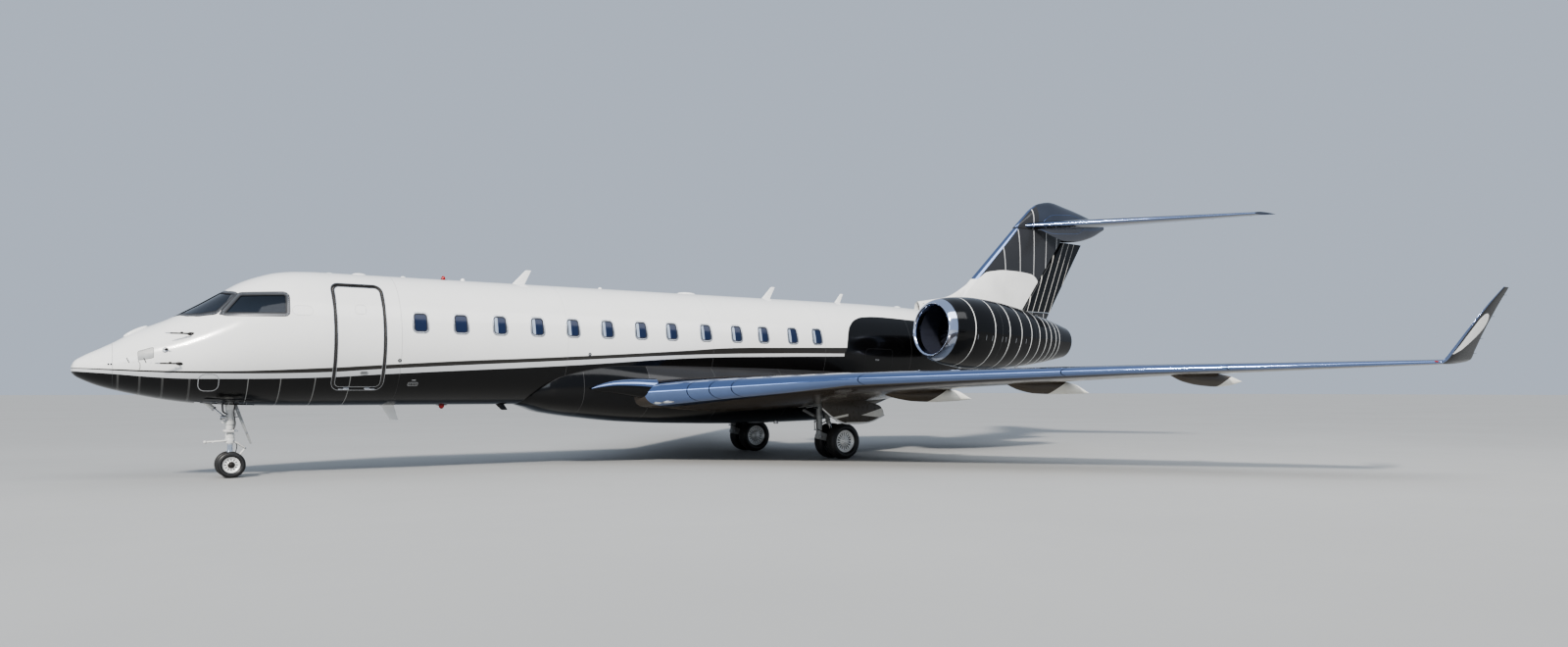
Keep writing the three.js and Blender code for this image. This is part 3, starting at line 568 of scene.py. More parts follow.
fuselagePaint = finish("fuselage_paint", 0.16, shade=0.97, uneven=0.02, grain=(0.015, 9), pattern=livery,
    extra=gloss)
whiteGloss = finish("white_gloss", 0.18, whitePaint, shade=0.96, uneven=0.02, grain=(0.015, 9), extra=gloss)
blackGloss = finish("black_gloss", 0.14, blackPaint, shade=0.8, uneven=0.03, grain=(0.012, 8), extra=gloss)
# polished intake lip, tinted blue as a painted reflection of the sky
lipMetal = finish("lip_metal", 0.07, (0.58, 0.65, 0.82), metallic=1, shade=0.93, patch=0.7, uneven=0.03,
    grain=(0.02, 4))
rubberSeal = finish("rubber_seal", 0.6, (0.02, 0.02, 0.022), grain=(0.2, 220))
satinAlloy = finish("satin_alloy", 0.26, (0.62, 0.63, 0.65), metallic=1, shade=0.86, patch=8,
    grain=(0.05, 150))
# polished metal, tinted blue as a painted reflection of the sky
chrome = finish("polished_metal", 0.07, (0.24, 0.31, 0.5), metallic=1, shade=0.93, patch=0.7, uneven=0.03,
    grain=(0.02, 3.5))
smokedLens = finish("lamp_lens", 0.05, (0.75, 0.8, 0.85), patch=20,
    extra={"Transmission Weight": 0.85, "IOR": 1.45})
paleLens = finish("pale_lens", 0.12, (0.86, 0.88, 0.9), patch=20, grain=(0.1, 60))
redLens = finish("red_lens", 0.08, (0.6, 0.02, 0.02), patch=20, extra={"Transmission Weight": 0.5})
greenLens = finish("green_lens", 0.08, (0.02, 0.45, 0.12), patch=20, extra={"Transmission Weight": 0.5})


def trimPattern(tree):
    # dark lining on the flight deck, pale leather panels in the entry
    x = stations(tree)[0]
    return {"color": blend(tree, x > 3.8, (0.06, 0.06, 0.062), (0.52, 0.48, 0.42))}


cabinTrim = finish("cabin_trim", 0.55, patch=3, grain=(0.12, 120), pattern=trimPattern)
carpet = finish("carpet", 0.95, (0.16, 0.14, 0.12), patch=6, grain=(0.9, 420), extra={"Sheen Weight": 0.4})
gearWhite = finish("gear_white", 0.34, (0.74, 0.74, 0.72), shade=0.82, patch=6, grain=(0.06, 90))
gearSteel = finish("gear_steel", 0.3, (0.5, 0.51, 0.53), metallic=1, shade=0.8, patch=14, grain=(0.05, 130))
oilyChrome = finish("oleo_chrome", 0.08, (0.82, 0.83, 0.85), metallic=1, shade=0.92, patch=9)


def boltedPattern(tree):
    # a row of screw heads along the strip
    u, v = uvParts(tree)
    along = u.calc("FRACT") - 0.5
    across = (v - 0.62) * 3.5
    head = (along ** 2 + across ** 2).calc("SQRT") < 0.22
    return {"color": blend(tree, head, (0.13, 0.135, 0.145), (0.42, 0.42, 0.43)), "height": 1 - head * 0.3}


boltedFrame = finish("bolted_frame", 0.34, metallic=0.6, shade=0.8, patch=9, grain=(0.05, 160),
    pattern=boltedPattern)


def cockpitGlassPattern(tree):
    # painted light: the glass is lighter near 3 m up and darker towards 3.6 m
    z = stations(tree)[2]
    return {"color": blend(tree, ranged(z, 0, 1, 3, 3.6), (0.045, 0.06, 0.085), (0.012, 0.017, 0.026))}


cockpitGlass = finish("cockpit_glass", 0.04, patch=3, uneven=0.015, pattern=cockpitGlassPattern,
    extra={"Transmission Weight": 0.5, "IOR": 1.38})


def cabinGlassPattern(tree):
    # a pale band along each pane's forward third, except in the first two windows, is a painted reflection;
    # the dark blue elsewhere is painted shade for the dim cabin behind the glass
    along = uvParts(tree)[0]
    x = stations(tree)[0]
    shade = (along < 0.3) * (x > 7)
    return {"color": blend(tree, shade, (0.012, 0.022, 0.06), (0.34, 0.4, 0.5))}


cabinGlass = finish("cabin_glass", 0.12, patch=4, uneven=0.015, pattern=cabinGlassPattern,
    extra={"Specular IOR Level": 0.4})


# Fuselage skin

fuselageRows = cubic([
    # x, crown, keel, half width
    [0, 2.09, 2.04, 0.025], [0.04, 2.2, 1.965, 0.13], [0.19, 2.315, 1.868, 0.265], [0.42, 2.44, 1.765, 0.415],
    [0.62, 2.552, 1.702, 0.52], [1, 2.785, 1.605, 0.7], [1.5, 3.02, 1.503, 0.89], [1.95, 3.285, 1.44, 1.025],
    [2.4, 3.578, 1.408, 1.13], [2.7, 3.77, 1.396, 1.19], [3, 3.9, 1.388, 1.24], [3.35, 4.005, 1.382, 1.287],
    [3.7, 4.05, 1.378, 1.325], [4.1, 4.065, 1.375, 1.345], [17.4, 4.065, 1.375, 1.345], [18.8, 4.05, 1.47,
        1.315],
    [20.2, 4, 1.73, 1.215], [21.8, 3.915, 2.13, 1], [23.4, 3.815, 2.52, 0.73], [25, 3.7, 2.89, 0.425],
    [26, 3.61, 3.12, 0.225], [26.3, 3.54, 3.25, 0.12],
], 6, roundStart=True)


def skinRow(x):
    _, crown, keel, halfWidth = rowAt(fuselageRows, x)
    return (crown + keel) / 2, (crown - keel) / 2, halfWidth


def skinPoint(x, angle, out=0):
    middle, halfHeight, halfWidth = skinRow(x)
    return Vector((x, (halfWidth + out) * cos(angle), middle + (halfHeight + out) * sin(angle)))


def onSide(x, z, side, out=0):
    # the point of the skin at this station and height
    middle, halfHeight, halfWidth = skinRow(x)
    sine = max(-1, min(1, (z - middle) / halfHeight))
    angle = asin(sine)
    return Vector((x, side * (halfWidth + out) * cos(angle), middle + (halfHeight + out) * sine))


def onCrown(x, y, up=1, out=0):
    middle, halfHeight, halfWidth = skinRow(x)
    cosine = max(-1, min(1, y / halfWidth))
    return Vector((x, (halfWidth + out) * cosine, middle + up * (halfHeight + out) * sqrt(1 - cosine**2)))


def skinNormal(place):
    step = 0.02

    def level(x):
        middle, halfHeight, halfWidth = skinRow(x)
        return (place.y / halfWidth) ** 2 + ((place.z - middle) / halfHeight) ** 2

    middle, halfHeight, halfWidth = skinRow(place.x)
    if abs(level(place.x) - 1) > 0.012:
        return None
    low, high = max(0.001, place.x - step), min(26.29, place.x + step)
    slope = (level(high) - level(low)) / (high - low)
    return Vector((slope, 2 * place.y / halfWidth**2, 2 * (place.z - middle) / halfHeight**2)).normalized()


def skinSolid(start, end, inset=0, gap=0.07, around=96):
    # stations close together where the nose is blunt
    stops = [row[0] for row in fuselageRows if start < row[0] < end and row[0] < 4.1]
    stops += spread(start, end, max(2, round((end - start) / gap)))[1:-1]
    stops = sorted({round(stop, 3) for stop in stops if start + 0.004 < stop < end - 0.004} | {start, end})
    return closed(skinned([[skinPoint(x, turn, -inset) for turn in turns(around)] for x in stops]))


def roundedBox(x0, x1, z0, z1, radius, steps=8):
    # points round a rectangle with round corners, from its forward top corner aft
    corners = ((x1 - radius, z1 - radius, 0), (x0 + radius, z1 - radius, 90),
        (x0 + radius, z0 + radius, 180), (x1 - radius, z0 + radius, 270))
    points = []
    for x, z, start in corners:
        for i in range(steps + 1):
            turn = radians(start + 90 * i / steps)
            points.append((x + radius * cos(turn), z + radius * sin(turn)))
    return points


def softened(outline, radius, steps=5):
    # the same outline with round corners
    points = []
    count = len(outline)
    for i in range(count):
        before, corner, after = (Vector(outline[n % count]) for n in (i - 1, i, i + 1))
        inward, outward = before - corner, after - corner
        reach = min(radius, inward.length * 0.45, outward.length * 0.45)
        start, end = corner + inward.normalized() * reach, corner + outward.normalized() * reach
        for step in range(steps + 1):
            t = step / steps
            points.append(tuple(start * (1 - t) ** 2 + corner * 2 * t * (1 - t) + end * t**2))
    return points


def evenly(outline, gap=0.03):
    # the closed outline with points at equal distances
    ends = [Vector(point) for point in outline]
    lengths = [(ends[(i + 1) % len(ends)] - ends[i]).length for i in range(len(ends))]
    total = sum(lengths)
    count = max(12, round(total / gap))
    points, i, passed = [], 0, 0
    for n in range(count):
        place = total * n / count
        while place > passed + lengths[i] and i < len(ends) - 1:
            passed += lengths[i]
            i += 1
        start, end = ends[i], ends[(i + 1) % len(ends)]
        points.append(tuple(start.lerp(end, (place - passed) / lengths[i] if lengths[i] else 0)))
    return points


def offset(outline, distance):
    # the outline moved outwards
    count = len(outline)
    area = sum(outline[i - 1][0] * outline[i][1] - outline[i][0] * outline[i - 1][1] for i in range(count))
    sign = 1 if area > 0 else -1
    moved = []
    for i in range(count):
        along = (Vector(outline[(i + 1) % count]) - Vector(outline[i - 1])).normalized()
        moved.append((outline[i][0] + sign * distance * along.y, outline[i][1] - sign * distance * along.x))
    return moved


def trim(outline, inner, outer, rise, place):
    # a raised strip round an outline; place puts (a, b, out) on the skin, and U counts
    # steps of pitch along it
    sink, pitch = 0.003, 0.04
    outline = evenly(outline)
    count = max(1, round(len(outline) * 0.03 / pitch))
    section = ((inner, -sink), (inner, rise * 0.7), (inner * 0.75 + outer * 0.25, rise),
        (inner * 0.25 + outer * 0.75, rise), (outer, rise * 0.7), (outer, -sink))
    loops = [[place(a, b, out) for a, b in offset(outline, distance)] for distance, out in section]
    return skinned(loops, lambda u, v: (u * count, v))


def pane(outline, place, out=0, rows=5):
    # a sheet that fills an outline, with UV across its width and height
    outline = evenly(outline)
    middle = [sum(point[n] for point in outline) / len(outline) for n in (0, 1)]
    low = [min(point[n] for point in outline) for n in (0, 1)]
    size = [max(point[n] for point in outline) - low[n] for n in (0, 1)]

    def spot(u, v):
        a, b = outline[round(u * len(outline)) % len(outline)]
        return middle[0] + (a - middle[0]) * v, middle[1] + (b - middle[1]) * v

    return sheet(len(outline), rows, lambda u, v: place(*spot(u, v), out),
        lambda u, v: [(spot(u, v)[n] - low[n]) / size[n] for n in (0, 1)])


doorway = {"x0": 4.215, "x1": 5.135, "z0": 1.72, "z1": 3.77, "corner": 0.13}
windscreenOutline = [(1.625, 0.045), (1.81, 0.47), (1.98, 0.65), (2.24, 0.805), (2.57, 0.655), (2.43, 0.37),
    (2.375, 0.045)]
sideWindowOutline = [(2.345, 3.115), (3.38, 3.13), (3.395, 3.49), (3.36, 3.515), (2.64, 3.487)]
cabinWindows = (5.819, 6.632, 7.447, 8.266, 9.075, 9.89, 10.716, 11.503, 12.409, 13.261, 14.028, 14.9, 15.654)


cabinWindow = {"half": 0.165, "low": 2.83, "high": 3.262, "corner": 0.1}


def markInside(bm, limit=0.004):
    # faces that lie under the skin take the second material
    for face in bm.faces:
        place = face.calc_center_median()
        middle, halfHeight, halfWidth = skinRow(place.x)
        depth = 1 - hypot(place.y / halfWidth, (place.z - middle) / halfHeight)
        face.material_index = 1 if depth * min(halfWidth, halfHeight) > limit else 0


def addBarrel(node, start, end, gap):
    # a closed length of the fuselage
    skin = skinSolid(start, end, gap=gap)
    addPiece(f"{node}_skin", skin, [fuselagePaint], node, normalAt=skinNormal)


def addFuselage():
    addBarrel("nose_radome", 0, 0.619, 0.03)

    front = skinSolid(0.6215, 5.4485)
    # flight deck and entry: from, to and floor
    for start, end, floor in ((1.44, 3.76, 1.95), (3.84, 5.33, 1.74)):
        room = skinSolid(start, end, inset=0.07, around=64)
        geom = room.verts[:] + room.edges[:] + room.faces[:]
        bmesh.ops.bisect_plane(room, geom=geom, plane_co=(0, 0, floor), plane_no=(0, 0, 1), clear_inner=True)
        front = carve(front, closed(room))
    front = carve(front, slab((3.7, -0.33, 1.95), (3.9, 0.33, 3.75), edge=0))
    d = doorway
    doorHole = sidePlate(roundedBox(d["x0"], d["x1"], d["z0"], d["z1"], d["corner"]), -2, 1.55)
    front = carve(front, doorHole)
    for side in (-1, 1):
        screen = prism([(x, side * y, 2.8) for x, y in softened(windscreenOutline, 0.04)], (0, 0, 1.4))
        front = carve(front, screen)
        front = carve(front, sidePlate(softened(sideWindowOutline, 0.035), side * 0.5, side * 1.5))
    front = carve(front, slab((1.93, -0.23, 1), (2.95, 0.23, 1.8), edge=0))
    markInside(front)
    addPiece("fuselage_front_skin", front, [fuselagePaint, cabinTrim], "fuselage_front",
        normalAt=skinNormal, sharp=25)
    addBarrel("fuselage_cabin", 5.4515, 18.7985, 0.2)
    addBarrel("tail_cone", 18.8015, 26.3, 0.12)



def addWindows(name, side):
    sideSpot = lambda a, b, out: onSide(a, b, side, out)
    crownSpot = lambda a, b, out: onCrown(a, side * b, 1, out)
    # cabin windows, all in one piece with their frames
    bm = bmesh.new()
    for x in cabinWindows:
        w = cabinWindow
        outer = roundedBox(x - w["half"], x + w["half"], w["low"], w["high"], w["corner"])
        attach(bm, 1, trim(outer, -0.03, 0, 0.008, sideSpot))
        attach(bm, 2, trim(outer, -0.05, -0.028, 0.005, sideSpot))
        attach(bm, 0, pane(offset(outer, -0.046), sideSpot, 0.002, rows=7))
        attach(bm, 2, slab((x + 0.07, -0.004, 2.842), (x + 0.1, 0.004, 2.852), edge=0.001),
            at=moved(0, onSide(x, 2.847, side, 0.008).y, 0))
    addPiece(f"cabin_windows_{name}", bm, [cabinGlass, satinAlloy, rubberSeal])

    # cockpit panes and their frames
    for kind, outline, spot in (("windscreen", windscreenOutline, crownSpot),
            ("side_window", sideWindowOutline, sideSpot)):
        edge = softened(outline, 0.04 if kind == "windscreen" else 0.035)
        glass = thickened(pane(offset(edge, -0.002), spot, -0.012, rows=10), 0.014)
        addPiece(f"{kind}_pane_{name}", glass, [cockpitGlass], f"{kind}_{name}")
        frames = bmesh.new()
        wide = 0.044 if kind == "side_window" else 0.036
        attach(frames, 0, trim(edge, -0.002, wide, 0.004, spot))
        attach(frames, 1, trim(edge, wide, wide + 0.009, 0.005, spot), trim(edge, -0.02, -0.001, 0.005, spot))
        if kind == "side_window":
            post = [(2.265, 3.085), (2.34, 3.085), (2.62, 3.5), (2.6, 3.54), (2.5, 3.49)]
            attach(frames, 0, pane(softened(post, 0.02, 3), spot, 0.0015))
        addPiece(f"{kind}_frame_{name}", frames, [boltedFrame, rubberSeal])


# Belly fairing

fairingRows = cubic([
    # x, bottom, half width, height of the widest line, rise above it
    [8.15, 1.385, 0.3, 1.6, 0.3], [8.4, 1.31, 0.8, 1.66, 0.55], [8.8, 1.18, 1.13, 1.74, 0.9], [9.77, 1.04,
        1.35, 1.79, 0.975], [10.75, 0.945, 1.49, 1.73, 0.95],
    [12.05, 0.888, 1.62, 1.62, 0.985], [14, 0.853, 1.68, 1.55, 1], [16, 0.88, 1.66, 1.53, 0.95], [17.4,
        1.13, 1.52, 1.62, 0.85],
    [18.5, 1.43, 1.13, 1.76, 0.6], [19.3, 1.64, 0.56, 1.9, 0.4],
], 8)


def fairingPoint(x, angle):
    _, bottom, halfWidth, waist, rise = rowAt(fairingRows, x)
    c, s = cos(angle), sin(angle)
    power = 0.8 if s < 0 else 1
    y = copysign(halfWidth * abs(c) ** power, c)
    return Vector((x, y, waist - (waist - bottom) * abs(s) ** power if s < 0 else waist + rise * s))


def fairingPattern(tree):
    x, _, z = stations(tree)
    seams = rings(x, (9.35, 10.85, 12.55, 14.48, 16.04, 17.6), 0.004)
    # the upper panels above the wing are painted a little lighter than the black: a painted reflection of the
    # sky
    upper = (z > 1.72) * ((x > 10.85) * (x < 17.6))
    color = blend(tree, upper, blackPaint, (0.032, 0.032, 0.034))
    return {"color": blend(tree, seams * 0.5, color, (0.16, 0.16, 0.16))}


fairingPaint = finish("fairing_paint", 0.14, shade=0.85, uneven=0.03, grain=(0.015, 6),
    pattern=fairingPattern, extra=gloss)


def addFairing():
    stops = sorted({round(x, 3) for x in [row[0] for row in fairingRows] + spread(8.15, 19.3, 70)})
    stops = [x for i, x in enumerate(stops) if i == 0 or x - stops[i - 1] > 0.02 or x > 19.29]
    addPiece("belly_fairing_skin",
        closed(skinned([[fairingPoint(x, turn) for turn in turns(88)] for x in stops])), [fairingPaint],
        "belly_fairing")

    # a seal where the fairing meets the fuselage
    line = []
    for x in spread(8.32, 17.9, 40):
        middle, halfHeight, halfWidth = skinRow(x)
        low, high = -1.4, 1.55
        for _ in range(30):
            angle = (low + high) / 2
            place = fairingPoint(x, angle)
            outside = (place.y / halfWidth) ** 2 + ((place.z - middle) / halfHeight) ** 2 > 1
            low, high = (angle, high) if outside else (low, angle)
        line.append(onSide(x, fairingPoint(x, low).z, 1, 0.001))
    bead = tube(line, 0.007, segments=6, steps=3)
    addPiece("fairing_bead", gather((mirrored(bead), 0), (bead, 0)), [rubberSeal])

    # jack pads under the belly
    bm = bmesh.new()
    for side in (-1, 1):
        attach(bm, None, rod((14.8, side * 0.7, 0.84), (14.8, side * 0.7, 0.93), 0.06, rim=0.004))
    addPiece("jack_pads", bm, [gearSteel])


# Wings

# chord fractions at the end of the slat, at the front of the flaps and at the aileron's hinge
wing = {"slat": 0.12, "flap": 0.742, "aileron": 0.76, "gap": 0.0003}
wingTable = [
    # y, leading edge x and z, trailing edge x and z, thickness over chord
    [1.25, 10.31, 1.59, 17.23, 1.4, 0.125], [5, 13.56, 1.9, 17.6, 1.8, 0.11], [9.3, 17.285, 2.085, 19.85,
        2.06, 0.1], [13.6, 21, 2.21, 22.02, 2.235, 0.095],
]
finTable = [[3.6, 20.758, 25.338, 0.1], [7, 24.42, 27.6, 0.1]]
tailTable = [[0, 24.4, 6.8, 27.96, 7.05, 0.085], [4.85, 29.2, 6.975, 30.3, 7.045, 0.085]]


def foilHeight(fraction, thickness, chord, side):
    # the lower side is flatter
    return foil(fraction, thickness) * chord * (1 if side > 0 else 0.85)


def foil(fraction, thickness):
    return 5 * thickness * (0.2969 * sqrt(
        fraction) - 0.126 * fraction - 0.3516 * fraction**2 + 0.2843 * fraction**3 - 0.1 * fraction**4)


def flatPoint(table):
    def point(y, fraction, side, out=0):
        _, x0, z0, x1, z1, thickness = rowAt(table, abs(y))
        height = foilHeight(fraction, thickness, x1 - x0, side) + out
        return Vector((x0 + (x1 - x0) * fraction, y, z0 + (z1 - z0) * fraction + side * height))

    return point


wingPoint = flatPoint(wingTable)
tailPoint = flatPoint(tailTable)


def finPoint(z, fraction, side, out=0):
    _, x0, x1, thickness = rowAt(finTable, z)
    height = foilHeight(fraction, thickness, x1 - x0, side) + out
    return Vector((x0 + (x1 - x0) * fraction, -side * height, z))


def foilRing(start, end, steps):
    # (fraction, side) round a section between two chord fractions, closer together at the front
    fractions = [start + (end - start) * (i / steps) ** (2 if start == 0 else 1) for i in range(steps + 1)]
    lower = fractions[1:] if start == 0 else fractions
    return [(f, 1) for f in reversed(fractions)] + [(f, -1) for f in lower]


def strip(point, start, end, spans, steps=14):
    ring = foilRing(start, end, steps)

    def uv(u, v):
        fraction, side = ring[round(u * len(ring)) % len(ring)]
        return side * (fraction + 0.001), spans[round(v * (len(spans) - 1))] / 10

    return closed(skinned([[point(y, f, side) for f, side in ring] for y in spans], uv))


def hinged(point, hinge, radius, spans, steps=9):
    # a surface aft of its hinge line with a round nose; radius is a share of the chord
    def ring(y):
        upper = [point(y, 1 - (1 - hinge) * i / steps, 1) for i in range(steps)]
        lower = [point(y, 1 - (1 - hinge) * i / steps, -1) for i in range(steps)]
        top, bottom = point(y, hinge, 1), point(y, hinge, -1)
        middle, half = (top + bottom) / 2, (top - bottom) / 2
        reach = (point(y, 1, 1) - point(y, 0, 1)).length * radius * 1.08
        nose = [middle + half * cos(a) - Vector((reach * sin(a), 0, 0))
            for a in (pi * i / 10 for i in range(11))]
        return upper + nose + lower[::-1]

    rows = [ring(y) for y in spans]
    count = len(rows[0])

    def uv(u, v):
        i = round(u * count) % count
        place = hinge + (1 - hinge) * (abs(i - count / 2) - 5) / steps
        return (place if i < count / 2 else -place), spans[round(v * (len(spans) - 1))] / 10

    return closed(skinned(rows, uv))


def chordAndSpan(tree):
    # chord fraction, negative below, and span in metres
    chord, span = uvParts(tree)
    return chord, span * 10


def wingPattern(tree):
    chord, span = chordAndSpan(tree)
    # spoiler panels on top
    inChord, inSpan = within(chord, 0.6, 0.74), within(span, 2.3, 10.1)
    lines = rings(chord, (0.6,), 0.0016) * inSpan
    lines = lines + rings(span, (2.3, 4.8, 5.2, 6.8, 8.45, 10.1), 0.005) * inChord
    # skin joints along and across the box
    lines = lines + rings(chord, (0.17, -0.17, -0.62), 0.0007) * 0.6
    lines = lines + rings(span, (3.6, 5, 7.2, 9.3, 11.6), 0.003) * 0.6
    # oval tank covers below
    cell = (span * 1.15).calc("FRACT") - 0.5
    across = (chord + 0.38) / 0.07
    ring = ((cell * 3.4) ** 2 + across ** 2).calc("SQRT")
    lines = lines + ring.calc("COMPARE", 0.9, 0.03) * within(span, 2.6, 12.4)
    # dark paint tinted brown; the brown is a painted reflection of the ground
    color = blend(tree, (lines * 0.6).calc("MINIMUM", 0.7), (0.095, 0.076, 0.058), (0.012, 0.011, 0.01))
    return {"color": color, "height": 1 - lines.calc("MINIMUM", 1)}


def slatPattern(tree):
    chord, span = chordAndSpan(tree)
    seams = rings(span, (2.39, 2.78, 3.17, 5.3, 8.45, 10.81), 0.007)
    under = span.calc("MINIMUM", 5) * 0.02 - 0.148
    painted = (span < 1.63).calc("MAXIMUM", chord < under)
    # the polished slats are tinted blue, a painted reflection of the sky; the painted parts take the wing's
    # dark paint, tinted brown as a painted reflection of the ground
    color = blend(tree, seams, (0.22, 0.3, 0.52), (0.01, 0.01, 0.012))
    color = blend(tree, painted, color, (0.05, 0.04, 0.032))
    return {"color": color, "metallic": 1 - painted, "height": 1 - seams}


wingPaint = finish("wing_paint", 0.17, metallic=0.25, shade=0.85, patch=0.8, uneven=0.04, grain=(0.015, 7),
    pattern=wingPattern, extra=gloss)
slatMetal = finish("slat_metal", 0.08, metallic=1, shade=0.93, patch=0.6, uneven=0.03, grain=(0.02, 3),
    pattern=slatPattern)


def trackPattern(tree):
    # the aft cones of the flap track fairings are white; UV runs along them
    around, along = uvParts(tree)
    edge = (around * (2 * pi)).calc("SINE") * 0.11 + 0.61
    # the dark forward part is the wing's dark paint, tinted brown as a painted reflection of the ground
    return {"color": blend(tree, along > edge, (0.085, 0.068, 0.05), (0.9, 0.88, 0.8))}


trackPaint = finish("track_paint", 0.2, patch=3, pattern=trackPattern, extra=gloss)

wingletStations = [
    # y, z, leading edge x, trailing edge x, cant, thickness over chord
    [13.6, 2.21, 21, 22.02, 0, 0.095], [13.655, 2.28, 21.06, 22.07, 38, 0.09], [13.74, 2.45, 21.145, 22.03,
        62, 0.085],
    [13.905, 2.8, 21.33, 22, 70, 0.08], [14.11, 3.24, 21.6, 22.03, 72, 0.08], [14.318, 3.59, 21.79, 22, 72,
        0.08],
]
wingletSteps = 8
wingletRows = cubic(wingletStations, wingletSteps)


def wingletPoint(station, fraction, side, out=0):
    place = max(0, min(len(wingletRows) - 1.001, station * wingletSteps))
    low, high = wingletRows[int(place)], wingletRows[int(place) + 1]
    y, z, x0, x1, cant, thickness = [a + (b - a) * (place - int(place)) for a, b in zip(low, high)]
    height = foilHeight(fraction, thickness, x1 - x0, side) + out
    turn = radians(cant)
    root = 0.025 * fraction * max(0, 1 - station)
    return Vector((x0 + (x1 - x0) * fraction, y, z + root)) + side * height * Vector((0, -sin(turn),
        cos(turn)))


def slatPoint(y, fraction, side, out=0):
    # the leading edge is fuller near the root
    fuller = 0.75 * max(0, 1 - (y - 1.3) / 3.6) * sin(pi * min(1, (fraction / 0.12) ** 0.5))
    return wingPoint(y, fraction, side, out + fuller * (0.035 if side > 0 else 0.1))


def addWing(name, side):
    white = [(1.41, 0.05), (2.36, 0.12), (3.02, 0.15), (3.49, 0.18), (3.7, 0.3), (3.72, 0.5), (3.66, 0.68),
        (3.47, 0.86), (3.2, 0.88), (2.78, 0.71), (2.41, 0.5), (1.92, 0.25)]
    boxes = [
        # from and to along the span, and the chord fraction where the fixed part ends
        ((1.3, 1.6, 1.895), 1),
        ((1.895, 2.7, 3.8, 5, 6.4, 7.8, 9.3, 10.155), 0.7335),
        ((10.155, 10.27), 1),
        ((10.27, 11.3, 12.3, 13.38), 0.722),
        ((13.38, 13.6), 1),
    ]
    bm = bmesh.new()
    for spans, aft in boxes:
        attach(bm, 0, handed(strip(wingPoint, wing["slat"] + wing["gap"], aft, spans, steps=16), side))
    addPiece(f"wing_skin_{name}", bm, [wingPaint], f"wing_{name}", tidy=False)
    addPiece(f"slat_skin_{name}",
        handed(strip(slatPoint, 0, wing["slat"], spread(1.3, 5, 8) + spread(5, 9.3, 6)[1:] + spread(9.3,
        13.6, 6)[1:], steps=9), side), [slatMetal], f"slats_{name}")
    addPiece(f"flap_inboard_skin_{name}",
        handed(strip(wingPoint, wing["flap"], 1, (1.9, 2.9, 4, 4.995), steps=8), side), [wingPaint],
        f"flap_inboard_{name}")
    addPiece(f"flap_outboard_skin_{name}",
        handed(strip(wingPoint, wing["flap"], 1, (5.005, 6.5, 8, 9.3, 10.15), steps=8), side), [wingPaint],
        f"flap_outboard_{name}")
    addPiece(f"aileron_skin_{name}",
        handed(hinged(wingPoint, wing["aileron"], 0.0262, (10.3, 11.3, 12.3, 13.35)), side), [wingPaint],
        f"aileron_{name}", body=f"aileron_{name}")

    # flap track fairings: a keel line, and a crown line that drops to the tail behind the flap
    bm = bmesh.new()
    tracks = [
        {
            "y": 4.2, "width": 0.2, "shift": 0,
            "keel": [(15.3, 1.63), (15.8, 1.5), (16.4, 1.425), (17, 1.41), (17.7, 1.43), (18.2, 1.47)],
            "crown": [(15.3, 1.68), (16.5, 1.74), (17.66, 1.69), (18.2, 1.48)],
        },
        {
            "y": 6.9, "width": 0.18, "shift": 0,
            "keel": [(16.5, 1.86), (17, 1.69), (17.5, 1.615), (18.1, 1.6), (18.8, 1.605), (19.27, 1.62)],
            "crown": [(16.5, 1.9), (17.6, 1.96), (18.72, 1.84), (19.27, 1.63)],
        },
        {
            "y": 9.7, "width": 0.16, "shift": 0.13,
            "keel": [(18.3, 2.01), (18.8, 1.86), (19.3, 1.79), (19.9, 1.76), (20.4, 1.79), (20.84, 1.87)],
            "crown": [(18.3, 2.03), (19.4, 2.08), (20.38, 1.99), (20.84, 1.88)],
        },
    ]
    for track in tracks:
        keel, crown = cubic(track["keel"], 6), cubic(track["crown"], 6)
        loops = []
        for x in spread(keel[0][0], keel[-1][0], 36):
            low, high = rowAt(keel, x)[1], rowAt(crown, x)[1]
            share = (x - keel[0][0]) / (keel[-1][0] - keel[0][0])
            half = track["width"] / 2 * min(1, (share + 0.01) * 4, (1.02 - share) * 2.6) ** 0.6
            loops.append(oval(x, track["y"], (low + high) / 2, half, (high - low) / 2, 24))
        attach(bm, 0, handed(closed(skinned(loops, lambda u, v: (u, v - track["shift"]))), side))
    addPiece(f"flap_tracks_{name}", bm, [trackPaint])

    # winglet with its polished edge and white inlay
    stops = spread(0, 5, 40)
    bm = gather((handed(strip(wingletPoint, 0.06, 1, stops, steps=14), side), 0),
        (handed(strip(wingletPoint, 0, 0.06, stops, steps=5), side), 1))
    outline = [tuple(point) for point in softened(white, 0.5, 6)]
    for face in (1, -1):
        inlay = pane(outline, lambda a, b, out, face=face: wingletPoint(a, b, face, out), 0.0016, rows=8)
        attach(bm, 2, handed(inlay, side))
    addPiece(f"winglet_skin_{name}", bm, [blackGloss, chrome, whiteGloss],
        f"winglet_{name}", tidy=False)


# Engines

engine = {"x": 18.24, "y": 2.7, "z": 3.25, "tilt": 2.5, "blades": 24, "vanes": 34, "lobes": 12, "latches": 6}


def engineMatrix(side):
    return moved(engine["x"], side * engine["y"], engine["z"]) @ spun(engine["tilt"], "Y")


def nacellePattern(tree):
    along = uvParts(tree)[0]
    stripes = rings(along, (0.73, 1.39, 1.94, 2.42, 2.85, 3.22, 3.53, 3.77, 4.01, 4.2), 0.013)
    joint = rings(along, (0.215, 1.66, 3.05, 4.32), 0.003)
    color = blend(tree, stripes, (0.004, 0.004, 0.0045), (0.85, 0.85, 0.83))
    return {"color": blend(tree, joint * 0.5, color, (0.12, 0.12, 0.12)), "height": 1 - joint}


